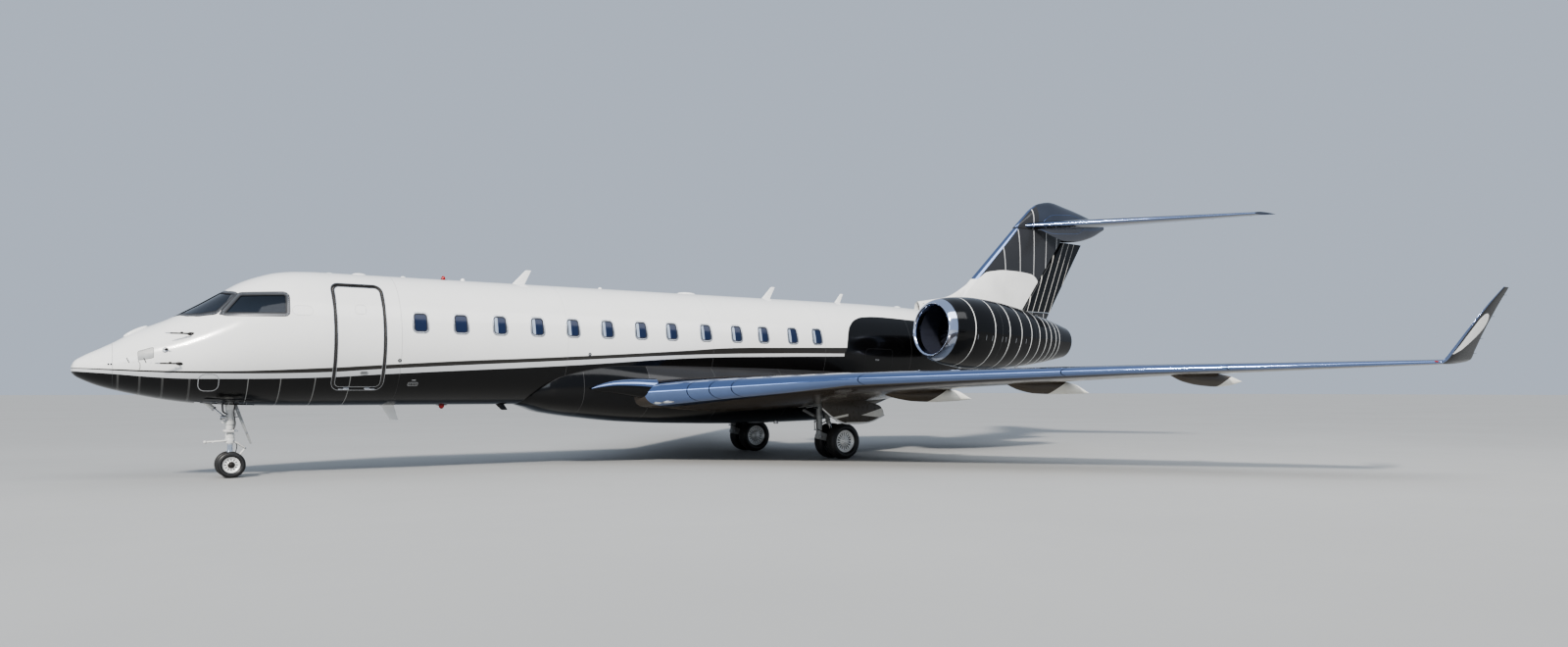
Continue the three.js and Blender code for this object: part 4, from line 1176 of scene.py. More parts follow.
def linerPattern(tree):
    # rows of small holes in the acoustic lining
    place = addNode(tree, "TexCoord", output="Object")
    holes = addNode(tree, "TexVoronoi", {"Vector": place, "Scale": 95, "Randomness": 0.15})
    open_ = holes < 0.22
    return {"color": blend(tree, open_, (0.055, 0.06, 0.085), (0.008, 0.008, 0.012)), "height": 1 - open_}


def spinnerPattern(tree):
    along = uvParts(tree)[0]
    return {"color": blend(tree, along.calc("COMPARE", -0.23, 0.012), (0.05, 0.05, 0.055), (0.6, 0.6, 0.58))}


nacellePaint = finish("nacelle_paint", 0.13, shade=0.85, uneven=0.03, grain=(0.012, 7),
    pattern=nacellePattern, extra=gloss)
ductLiner = finish("duct_liner", 0.42, metallic=0.4, pattern=linerPattern)
fanTitanium = finish("fan_titanium", 0.25, (0.16, 0.165, 0.18), metallic=1, shade=0.75, patch=6,
    grain=(0.06, 170))
spinnerPaint = finish("spinner_paint", 0.3, patch=9, pattern=spinnerPattern, extra=gloss)
hotMetal = finish("nozzle_metal", 0.4, (0.52, 0.47, 0.42), metallic=1, shade=0.6, patch=3, uneven=0.08,
    grain=(0.08, 70))
coreDark = finish("core_dark", 0.5, (0.06, 0.06, 0.065), metallic=0.8, shade=0.7, patch=5, grain=(0.1, 80))


def fanBlade():
    # twisted blade: radius, chord, stagger, thickness
    rows = cubic([[0.15, 0.15, 28, 0.02], [0.28, 0.165, 40, 0.015], [0.42, 0.18, 52, 0.011],
        [0.597, 0.185, 61, 0.007]], 4)
    loops = []
    for radius, chord, stagger, thickness in rows:
        turn = radians(stagger)
        ring = []
        for a in turns(16):
            along, across = cos(a) * chord / 2, sin(a) * thickness / 2 + 0.09 * chord * (1 - cos(a) ** 2)
            ring.append(Vector((along * cos(turn) - across * sin(turn),
                along * sin(turn) + across * cos(turn),
                sqrt(max(0.01, radius**2 - (along * sin(turn)) ** 2)))))
        loops.append(ring)
    return closed(skinned(loops))


def addEngine(name, side):
    lipRows = cubic([[0.1995, 0.8], [0.11, 0.765], [0.04, 0.722], [0, 0.678], [0.025, 0.64], [0.09, 0.618],
        [0.1995, 0.613]], 5)
    outside = cubic([[0.2, 0.8], [0.55, 0.875], [1.3, 0.935], [2.04, 0.907], [2.7, 0.84], [3.35, 0.747],
        [4, 0.63], [4.86, 0.44]], 7)
    matrix = engineMatrix(side)
    addPiece(f"intake_lip_skin_{name}", gather((turned(lipRows, 96), 0, matrix)), [lipMetal],
        f"intake_lip_{name}")

    # cowl, duct lining and nozzle
    bm = gather(
        (turned(outside, 96), 0, matrix),
        (turned([(0.2, 0.8), (0.2, 0.613), (0.82, 0.613)], 96), 1, matrix),
        (turned([(0.82, 0.613), (1.15, 0.613)], 96), 2, matrix),
        (turned([(4.86, 0.44), (4.862, 0.434), (4.855, 0.428), (4.2, 0.5), (3.3, 0.6)], 96), 3, matrix),
    )
    # latches along the lower split line, and short raised marks round the cowl's outer side
    for i in range(engine["latches"]):
        attach(bm, 4, slab((0.95 + i * 0.42, -0.05, -0.95 + i * 0.028),
            (1.07 + i * 0.42, -0.02, -0.9 + i * 0.028), edge=0.006), at=matrix)
    for x in (0.82, 1.09, 1.3, 1.66, 1.8, 2.2, 2.62):
        radius = rowAt(outside, x)[1] + 0.002
        arc = [Vector((x, side * radius * cos(a), radius * sin(a))) for a in spread(-0.26, -0.12, 4)]
        attach(bm, 4, tube(arc, 0.006), at=matrix)
    addPiece(f"nacelle_skin_{name}", bm, [nacellePaint, ductLiner, coreDark, hotMetal, satinAlloy],
        f"nacelle_{name}", tidy=False)

    # stator vanes, mixer lobes and tail cone
    bm = gather((turned([(1.12, 0), (1.12, 0.2), (1.45, 0.23), (1.45, 0.612)], 64), 0, matrix))
    for i in range(engine["vanes"]):
        vane = slab((1.1, -0.004, 0.19), (1.26, 0.004, 0.61), edge=0.002)
        attach(bm, 1, vane, at=matrix @ spun(360 * i / engine["vanes"], "X") @ spun(12, "Z"))
    cone = cubic([[3.3, 0.3], [3.6, 0.29], [3.9, 0.24], [4.2, 0.15], [4.4, 0.05], [4.43, 0]], 4)
    attach(bm, 2, turned(cone, 48), at=matrix)
    lobes = []
    for x, depth in ((3.3, 0), (3.5, 0.03), (3.75, 0.075), (3.95, 0.095)):
        reach = [(0.4 + depth * cos(engine["lobes"] * a), a) for a in turns(144)]
        lobes.append([Vector((x, out * cos(a), out * sin(a))) for out, a in reach])
    attach(bm, 2, thickened(skinned(lobes), 0.004), at=matrix)
    attach(bm, 0, turned([(3.3, 0), (3.3, 0.6)], 48), at=matrix)
    addPiece(f"engine_core_skin_{name}", bm, [coreDark, fanTitanium, hotMetal],
        f"engine_core_{name}")

    fanPlace = matrix @ moved(0.9, 0, 0)
    spinner = cubic([[-0.33, 0], [-0.29, 0.045], [-0.2, 0.11], [-0.06, 0.168], [0.06, 0.19], [0.16, 0.19]],
        4, roundStart=True)
    bm = gather((turned(spinner + [[0.16, 0.07], [0.24, 0.07]], 48), 1, fanPlace))
    blade = fanBlade()
    for i in range(engine["blades"]):
        attach(bm, 0, blade.copy(), at=fanPlace @ spun(360 * i / engine["blades"], "X"))
    blade.free()
    addPiece(f"fan_wheel_{name}", bm, [fanTitanium, spinnerPaint], f"fan_{name}",
        body=f"fan_{name}", tidy=False)


def addPylon(name, side):
    ring = foilRing(0, 1, 14)
    rows = cubic([[0.7, 19, 3.3, 23.3, 3.08], [1.2, 19.09, 3.278, 23.17, 3.067],
        [2.3, 19.3, 3.23, 22.9, 3.04]], 4)
    loops = []
    for y, x0, z0, x1, z1 in rows:
        line = [(f, z0 + (z1 - z0) * f + s * foilHeight(f, 0.085, x1 - x0, s)) for f, s in ring]
        loops.append([Vector((x0 + (x1 - x0) * f, side * y, z)) for f, z in line])
    addPiece(f"pylon_skin_{name}", closed(skinned(loops)), [blackGloss], f"pylon_{name}")


# Tail

def finPattern(tree):
    x, _, z = stations(tree)
    stripes = rings(x, (23.56, 24.2, 24.83, 25.4, 25.91), 0.015)
    top = lineThrough(x, [(20, 5.06), (22.45, 5.06), (22.8, 5.24), (23.03, 5.29), (23.6, 5.345),
        (24.54, 5.315), (24.885, 5.23), (25.03, 5.1), (25.13, 4.94)])
    bottom = lineThrough(x, [(24.3, 3.9), (24.54, 4.18), (24.84, 4.48), (25.03, 4.69), (25.13, 4.93)])
    notAft = x < 25.13
    isAft = x > 24.32
    above = (z > bottom).calc("MAXIMUM", 1 - isAft)
    panel = (z < top) * above * notAft
    color = blend(tree, stripes, (0.035, 0.036, 0.04), (0.6, 0.6, 0.6))
    return {"color": blend(tree, panel, color, whitePaint)}


def rudderPattern(tree):
    x, _, z = stations(tree)
    slanted = x - (z - 5) * 0.38
    stripes = rings(slanted, (24.9, 25.17, 25.45, 25.75, 26.02, 26.29), 0.015)
    return {"color": blend(tree, stripes, blackPaint, (0.62, 0.6, 0.56))}


finPaint = finish("fin_paint", 0.15, shade=0.88, uneven=0.03, grain=(0.012, 7), pattern=finPattern,
    extra=gloss)
rudderPaint = finish("rudder_paint", 0.16, shade=0.85, uneven=0.03, grain=(0.012, 7), pattern=rudderPattern,
    extra=gloss)


def bulletPattern(tree):
    # painted like the fin ahead of the tailplane, with the polished edge carried up, dark metal behind; the
    # edge's blue is a painted reflection of the sky, and the darkness of the metal behind a painted
    # reflection of dark ground
    x, y, z = stations(tree)
    front = x < 25.02
    edge = (y.calc("ABSOLUTE") < 0.06) * (z > 6.74)
    painted = front * (1 - edge)
    stripe = rings(x, (24.83,), 0.015)
    color = blend(tree, edge, blend(tree, stripe, (0.035, 0.036, 0.04), (0.6, 0.6, 0.6)), (0.24, 0.31, 0.5))
    return {"color": blend(tree, front, (0.17, 0.18, 0.21), color), "metallic": 1 - painted}


bulletPaint = finish("bullet_paint", 0.12, shade=0.88, uneven=0.03, grain=(0.015, 5), pattern=bulletPattern)
# dark metal for the tailplane and elevators; its darkness is a painted reflection of dark ground below
tailMetal = finish("tail_metal", 0.1, (0.17, 0.18, 0.21), metallic=1, shade=0.88, patch=0.8, uneven=0.03,
    grain=(0.02, 4))
probeDark = finish("probe_dark", 0.4, (0.035, 0.033, 0.032), metallic=0.7, patch=20, grain=(0.08, 200))
# near black, painted shade for recesses
paintedShadeBlack = finish("painted_shade_black", 0.7, (0.01, 0.01, 0.012), patch=8, grain=(0.1, 90))


# chord fractions of the polished edge and of the hinges
tail = {"edge": 0.045, "rudder": 0.72, "elevator": 0.7}


def addTail():
    # fin: polished leading edge above the white root panel, painted box aft of it
    edge = tail["edge"]
    bm = gather(
        (strip(finPoint, edge, 1, (3.75, 3.95, 4.105), steps=20), 0),
        (strip(finPoint, edge, 0.678, (4.105, 4.6, 5.2, 5.8, 6.4, 6.69), steps=16), 0),
        (strip(finPoint, 0, edge, (3.75, 4.4, 5.02), steps=6), 0),
        (strip(finPoint, 0, edge, (5.02, 5.9, 6.69), steps=6), 1),
    )
    # strip that closes the gap under the rudder
    attach(bm, 2, slab((24.5, -0.009, 4.08), (25.66, 0.009, 4.133)))
    # dorsal fairing, open at its front
    rows = cubic([[20.15, 4.245, 0.118], [20.7, 4.33, 0.13], [21.3, 4.44, 0.135], [21.965, 4.765, 0.13],
        [22.7, 5.3, 0.1]], 6)
    loops = [[Vector((x, halfWidth * cos(a), 3.8 + (crown - 3.8) * sin(a) ** 0.5))
        for a in (pi * i / 24 for i in range(25))] for x, crown, halfWidth in rows]
    dorsal = closed(skinned(loops))
    mouth = min(dorsal.faces, key=lambda face: face.calc_center_median().x)
    bmesh.ops.inset_region(dorsal, faces=[mouth], thickness=0.02)
    bmesh.ops.translate(dorsal, vec=(0.22, 0, 0), verts=mouth.verts)
    attach(bm, None, dorsal)
    addPiece("fin_skin", bm, [finPaint, chrome, rubberSeal], "fin", tidy=False)
    # a dark slab in the mouth of the dorsal fairing, painted shade inside the inlet
    addPiece("dorsal_inlet_shade", slab((20.3, -0.092, 4), (20.36, 0.092, 4.2), edge=0.01), [paintedShadeBlack])

    addPiece("rudder_skin", hinged(finPoint, tail["rudder"], 0.0295, (4.15, 4.9, 5.7, 6.405)),
        [rudderPaint], "rudder", body="rudder")

    # bullet fairing
    rows = cubic([
        [24.08, 6.72, 6.68, 0.02], [24.3, 6.91, 6.66, 0.075], [24.55, 7.13, 6.63, 0.12], [24.82, 7.36, 6.6,
            0.165], [25.2, 7.56, 6.55, 0.23], [25.7, 7.65, 6.48, 0.285],
        [26.3, 7.56, 6.43, 0.285], [27, 7.43, 6.5, 0.245], [27.7, 7.27, 6.69, 0.165], [28.3, 7.12, 6.98,
            0.045],
    ], 5)
    loops = [oval(x, 0, (top + bottom) / 2, wide, (top - bottom) / 2, 48) for x, top, bottom, wide in rows]
    bullet = closed(skinned(loops))
    addPiece("bullet_skin", bullet, [bulletPaint], "bullet_fairing")

    # tailplane: one piece across, cut away for the elevators
    bm = bmesh.new()
    for side in (-1, 1):
        for spans, aft in (((0, 0.39), 1), ((0.39, 1.5, 3, 4.65), 0.664), ((4.65, 4.85), 1)):
            for start, end, material in ((0, 0.035, 1), (0.035, aft, 0)):
                part = strip(tailPoint, start, end, spans, steps=6 if material else 12)
                attach(bm, material, handed(part, side))
    addPiece("tailplane_skin", bm, [tailMetal, chrome], "tailplane", tidy=False)
    for name, side in sides:
        part = hinged(tailPoint, tail["elevator"], 0.0265, (0.42, 1.8, 3.2, 4.62))
        addPiece(f"elevator_skin_{name}", handed(part, side), [tailMetal], f"elevator_{name}",
            body=f"elevator_{name}")


# Landing gear

def tyrePattern(radius):
    def pattern(tree):
        # a paler ring on the wall, a painted highlight where light catches the tyre, and dust along the tread
        reach = uvParts(tree)[1]
        ring = reach.calc("COMPARE", radius * 0.79, radius * 0.014)
        tread = reach > radius * 0.965
        color = blend(tree, ring * 0.5, (0.014, 0.014, 0.015), (0.11, 0.11, 0.11))
        color = blend(tree, tread * 0.6, color, (0.045, 0.043, 0.04))
        return {"color": color, "roughness": ranged(tread, 0.4, 0.75)}

    return pattern


nosewheelTyre = finish("nosewheel_tyre", 0.3, shade=0.75, patch=12, grain=(0.12, 230),
    pattern=tyrePattern(0.252))
mainwheelTyre = finish("mainwheel_tyre", 0.3, shade=0.75, patch=8, grain=(0.12, 200),
    pattern=tyrePattern(0.435))
rimAlloy = finish("rim_alloy", 0.32, (0.92, 0.92, 0.9), metallic=0.3, shade=0.85, patch=16, grain=(0.04, 120))
brakeDark = finish("brake_steel", 0.5, (0.075, 0.07, 0.066), metallic=0.85, shade=0.6, patch=16,
    grain=(0.12, 110))
# grey gear paint; on the main legs it stands for white gear paint in painted shade
gearGrey = finish("gear_grey", 0.36, (0.36, 0.37, 0.37), shade=0.8, patch=6, grain=(0.06, 90))
hoseBlack = finish("hose_black", 0.5, (0.02, 0.02, 0.02), shade=0.7, patch=30, grain=(0.15, 300))


def gearDoorPattern(tree):
    # brown-grey paint like the wing's, its brown a painted reflection of the ground, with pale corners at the
    # lower edge: painted highlights where light catches the edge
    x, _, z = stations(tree)
    slant = z - (x - 15.2) * 0.16
    first = within(x, 15.2, 15.76) * within(slant, 0.965, 1.02)
    second = within(x, 15.7, 16.3) * (z < 0.905)
    along, rise = x - 16.16, z - 1.07
    over = rise > along * -0.1
    third = over * (rise < along * 0.26)
    pale = first.calc("MAXIMUM", second.calc("MAXIMUM", third))
    return {"color": blend(tree, pale, (0.085, 0.075, 0.062), (0.82, 0.8, 0.74))}


gearDoorPaint = finish("gear_door_paint", 0.3, shade=0.85, patch=2, grain=(0.02, 20),
    pattern=gearDoorPattern, extra=gloss)


def tyre(wheel):
    half, rim, radius = wheel["width"] / 2, wheel["rim"], wheel["radius"]
    depth = radius - rim
    side = [(0.6, 0), (0.72, 0.05), (0.84, 0.12), (0.95, 0.27), (1, 0.44), (0.995, 0.52), (0.97, 0.56),
        (0.97, 0.6), (0.93, 0.7), (0.87, 0.82), (0.78, 0.92), (0.66, 0.97)]
    points = [(half * a, rim + depth * b) for a, b in side]
    for groove in wheel["grooves"]:
        middle, wide, deep = half * groove, wheel["groove"][0] / 2, wheel["groove"][1]
        crown = rim + depth * (1 - 0.03 * groove**2 * 2.2)
        points += [(middle + wide + 0.002, crown), (middle + wide, crown - deep),
            (middle - wide, crown - deep), (middle - wide - 0.002, crown)]
    other = [(-a, r) for a, r in reversed(points) if a > 0]
    return turned([p for p in points if p[0] > 0] + [(0, radius)] + other, wheel["around"])


def wheelRim(wheel):
    # the outer side lies towards +X: flange, dish, slotted web and hub
    half, rim = wheel["width"] / 2, wheel["rim"]
    profile = [(-0.58, 1), (-0.62, 1.07), (-0.68, 1.07), (-0.68, 0.97), (-0.5, 0.93), (0.42, 0.9),
        (0.36, 0.84), (0.3, 0.76), (0.34, 0.5), (0.44, 0.42)]
    inner = [(half * a, rim * b) for a, b in profile]
    outer = [(half * a, rim * b) for a, b in [(0.52, 0.42), (0.43, 0.5), (0.4, 0.76), (0.46, 0.84),
        (0.56, 0.92), (0.62, 0.96), (0.68, 0.99), (0.68, 1.07), (0.62, 1.07), (0.58, 1)]]
    web = turned(inner + outer + inner[:1], wheel["around"])
    slots = bmesh.new()
    for i in range(wheel["slots"]):
        low, high = rim * wheel["slotFrom"], rim * wheel["slotTo"]
        taper = wheel["slotWidth"]
        outline = softened([(-taper * 0.6, low), (taper * 0.6, low), (taper, high), (-taper, high)],
            taper * 0.5, 4)
        slot = prism([(0, a, b) for a, b in outline], (half * 0.9, 0, 0))
        attach(slots, None, slot, at=spun(360 * i / wheel["slots"], "X") @ moved(half * 0.05, 0, 0))
    web = carve(web, slots)
    web.loops.layers.uv.verify()
    cap = cubic([[0.52, 0.44], [0.62, 0.36], [0.66, 0.22], [0.82, 0.15], [0.86, 0.06], [0.865, 0]], 3)
    bm = gather((web, 0), (turned([(half * a, rim * b) for a, b in cap], 40), wheel["cap"]))
    for i in range(wheel["slots"] // 2):
        turn = spun(360 * (i + 0.5) / (wheel["slots"] // 2), "X")
        attach(bm, 1, rod((half * 0.6, 0, rim * 0.3), (half * 0.7, 0, rim * 0.3), 0.006, segments=6,
            rim=0.001), rod((half * 0.45, 0, rim * 0.88), (half * 0.56, 0, rim * 0.88), 0.005, segments=6,
            rim=0.001), at=turn)
    # the drum behind the slots
    attach(bm, 1, turned([(half * 0.12, 0), (half * 0.12, rim * 0.87), (half * 0.05, rim * 0.87),
        (half * 0.05, 0)], 48))
    return bm


noseWheel = {"radius": 0.252, "width": 0.184, "rim": 0.15, "grooves": (0.55, 0.2), "groove": (0.007, 0.005),
    "around": 72, "slots": 12, "slotFrom": 0.52, "slotTo": 0.76, "slotWidth": 0.011, "cap": 1,
    "apart": 0.165}
mainWheel = {"radius": 0.435, "width": 0.3, "rim": 0.265, "grooves": (0.62, 0.36, 0.12),
    "groove": (0.009, 0.008), "around": 88, "slots": 18, "slotFrom": 0.47, "slotTo": 0.79,
    "slotWidth": 0.0145, "cap": 0, "apart": 0.245}


def addWheels(name, body, wheel, x, y, rubber):
    rims = wheelRim(wheel)
    whole = gather((pin((0, 0, 0), wheel["apart"], wheel["rim"] * 0.16, segments=40), 1,
        moved(x, y, wheel["radius"])))
    for word, side in (("left", -1), ("right", 1)):
        place = moved(x, y + side * wheel["apart"], wheel["radius"])
        turn = spun(90 * side, "Z")
        attach(whole, None, rims.copy(), at=place @ turn)
        addPiece(f"{name}_tyre_skin_{word}", gather((tyre(wheel), 0, place @ turn)), [rubber],
            f"{name}_tyre_{word}", body=body)
    rims.free()
    addPiece(f"{name}_rims_skin", whole, [rimAlloy, brakeDark], f"{name}_rims", body=body)


def bolts(places, direction, radius=0.009, height=0.006):
    bm = bmesh.new()
    for place in places:
        attach(bm, None, rod(place, Vector(place) + Vector(direction) * height, radius, segments=6,
            rim=0.001))
    return bm


gear = {"noseX": 2.55, "mainX": 15.73, "mainY": 2.03, "legAhead": 0.54}


def addNoseGear():
    x, r = gear["noseX"], noseWheel["radius"]
    addWheels("nose", "nose_wheels", noseWheel, x, 0, nosewheelTyre)
    # fixed leg: barrel, brace, cross bars, steering cylinders, taxi lamps and hoses
    barrel = [(0.76, 0), (0.76, 0.078), (0.8, 0.083), (0.84, 0.083), (0.855, 0.07), (1.02, 0.07),
        (1.03, 0.088), (1.1, 0.088), (1.115, 0.075), (1.36, 0.075), (1.375, 0.09), (1.43, 0.09),
        (1.445, 0.08), (1.795, 0.08), (1.795, 0)]
    upright = moved(x, 0, 0) @ spun(-90, "Y")
    bm = gather((turned(barrel, 48), 0, upright))
    brace = Vector((2.02, 0, 1.56)) - Vector((x, 0, 1.08))
    foot = Vector((x, 0, 1.08))
    attach(bm, 2, rod(foot + brace * 0.12, foot + brace * 0.55, 0.024))
    attach(bm, 0, rod(foot + brace * 0.5, foot + brace * 0.93, 0.04, segments=28, rim=0.006),
        pin((x - 0.12, 0, 1.075), 0.045, 0.03, rim=0.004),
        slab((x - 0.14, -0.035, 1.045), (x - 0.05, 0.035, 1.105), edge=0.008),
        slab((1.932, -0.05, 1.52), (2.05, 0.05, 1.6), edge=0.01))
    attach(bm, 1, rod(foot + brace * 0.5, foot + brace * 0.54, 0.047, segments=28, rim=0.004),
        pin((2.02, 0, 1.56), 0.15, 0.028, rim=0.004), pin((x, 0, 1.64), 0.229, 0.042, segments=28,
        rim=0.005))
    for side in (-1, 1):
        attach(bm, 0, prism([(x - 0.07, side * 0.085, 1.3), (x + 0.07, side * 0.085, 1.3),
            (x + 0.035, side * 0.2, 1.62), (x - 0.035, side * 0.2, 1.62)], (0, 0, 0.03), edge=0.006))
        # steering cylinders across the collar
        attach(bm, 0, rod((x - 0.11, side * 0.105, 0.9), (x + 0.06, side * 0.105, 0.9), 0.028, rim=0.004),
            slab((x - 0.05, side * 0.07 - 0.02, 0.87), (x + 0.04, side * 0.07 + 0.02, 0.93), edge=0.008))
        attach(bm, 2, rod((x + 0.06, side * 0.105, 0.9), (x + 0.13, side * 0.105, 0.9), 0.013, segments=16))
        attach(bm, 1, slab((x - 0.03, side * 0.105 - 0.02, 0.865), (x + 0.03, side * 0.105 + 0.02, 0.935),
            edge=0.006))
        # lamps
        lamp = [(0, 0), (0, 0.03), (0.05, 0.055), (0.062, 0.058), (0.066, 0.052), (0.06, 0.048),
            (0.03, 0.03), (0.03, 0)]
        place = moved(x - 0.09, side * 0.105, 1.17) @ spun(180, "Z")
        attach(bm, 1, turned(lamp, 32), at=place)
        attach(bm, 4, turned([(0.056, 0), (0.056, 0.049)], 32), at=place)
        attach(bm, 0, rod((x - 0.07, side * 0.04, 1.17), (x - 0.1, side * 0.105, 1.17), 0.011, segments=12))
        # hoses and clips
        attach(bm, 3, tube([(x + 0.03, side * 0.085, 1.7), (x + 0.075, side * 0.1, 1.5),
            (x + 0.06, side * 0.11, 1.25), (x + 0.085, side * 0.085, 1.05), (x + 0.05, side * 0.1, 0.92)],
            0.009), tube([(x - 0.06, side * 0.075, 1.48), (x - 0.13, side * 0.09, 1.4),
            (x - 0.12, side * 0.09, 1.28), (x - 0.05, side * 0.085, 1.22)], 0.008))
    attach(bm, 0, slab((x + 0.06, -0.06, 1.18), (x + 0.1, 0.06, 1.26), edge=0.006))
    attach(bm, 1, bolts([(x - 0.04, y, 1.4) for y in (-0.084, 0.084)], (0, 0, 1)))
    addPiece("nose_leg_skin", bm, [gearWhite, gearSteel, oilyChrome, hoseBlack, smokedLens],
        "nose_leg")

    # steered part: chromed slider, collar, torque links, axle housing and towing fork
    slider = [(r - 0.05, 0), (r - 0.05, 0.05), (r + 0.06, 0.056), (r + 0.1, 0.056), (r + 0.11, 0.05),
        (0.669, 0.05), (0.669, 0.083), (0.69, 0.087), (0.74, 0.087), (0.757, 0.08), (0.757, 0)]
    bm = gather((turned(slider[:6] + [(0.67, 0)], 40), 2, upright),
        (turned([(0.665, 0)] + slider[6:], 44), 0, upright))
    attach(bm, 0, pin((x, 0, r), 0.088, 0.06, segments=36, rim=0.006),
        rod((x, 0, r + 0.03), (x, 0, r + 0.17), 0.062, 0.054, segments=36, rim=0.004))
    for side in (-1, 1):
        wide, narrow = side * 0.062, side * 0.018
        attach(bm, 0, rod((x + 0.06, wide, 0.71), (x + 0.262, narrow, 0.56), 0.016, segments=14, rim=0.002),
            rod((x + 0.262, narrow, 0.56), (x + 0.055, wide, r + 0.03), 0.015, segments=14, rim=0.002))
    for start, end in (((x + 0.1, 0.68), (x + 0.2, 0.606)), ((x + 0.2, 0.475), (x + 0.1, 0.34))):
        attach(bm, 0, pin((start[0], 0, start[1]), 0.05, 0.009, segments=12),
            pin((end[0], 0, end[1]), 0.032, 0.008, segments=12))
    attach(bm, 1, pin((x + 0.262, 0, 0.56), 0.035, 0.02, segments=20, rim=0.003),
        pin((x + 0.06, 0, 0.71), 0.078, 0.018, segments=20, rim=0.003))
    for side in (-1, 1):
        attach(bm, 0, rod((x - 0.05, side * 0.06, 0.715), (x - 0.3, side * 0.028, 0.7), 0.017, segments=14,
            rim=0.002))
    attach(bm, 0, pin((x - 0.3, 0, 0.7), 0.045, 0.022, segments=20, rim=0.003),
        rod((x - 0.3, 0, 0.7), (x - 0.41, 0, 0.695), 0.018, segments=16, rim=0.003),
        ball((x - 0.425, 0, 0.695), 0.032))
    attach(bm, 3, tube([(x + 0.05, 0.085, 0.74), (x + 0.13, 0.09, 0.6), (x + 0.09, 0.075, 0.42),
        (x + 0.03, 0.07, r + 0.05)], 0.007))
    addPiece("nose_steering_skin", bm, [gearWhite, gearSteel, oilyChrome, hoseBlack],
        "nose_steering", body="nose_steering")

    # door hanging on the leg, and the two bay doors held open under the belly
    plate = [(x + 0.065, 1.5), (x + 0.09, 1.5), (x + 0.378, 0.645), (x + 0.352, 0.638), (x + 0.075, 1.36)]
    bm = gather((sidePlate(plate, -0.045, 0.09, edge=0.004), 0))
    for height in (1.3, 1.08, 0.86):
        along = x + 0.065 + (1.5 - height) * 0.335
        attach(bm, 1, slab((along - 0.012, -0.055, height - 0.012), (along + 0.02, 0.055, height + 0.012)))
    attach(bm, 1, rod((x + 0.08, 0, 1.16), (x + 0.165, 0, 1.18), 0.011, segments=12))
    addPiece("nose_gear_door_skin", bm, [gearGrey, gearSteel], "nose_gear_door")
    bm = bmesh.new()
    for side in (-1, 1):
        ends = [(2.06, 0.46), (2.1, 0.5), (2.86, 0.5), (2.94, 0.46)]
        inner = [onCrown(a, side * 0.24, -1, 0.004) for a in spread(2.94, 2.06, 6)]
        outline = [(a, side * b, onCrown(a, side * 0.24, -1).z + 0.085) for a, b in ends] + [tuple(p)
            for p in inner]
        attach(bm, 0, prism(outline, (0, 0, -0.014), edge=0.003))
        for a in (2.2, 2.5, 2.8):
            foot = onCrown(a, side * 0.24, -1, 0.012)
            attach(bm, 1, rod(foot, foot + Vector((0, side * 0.17, 0.075)), 0.01, segments=10))
    addPiece("nose_bay_doors", bm, [blackGloss, gearSteel])


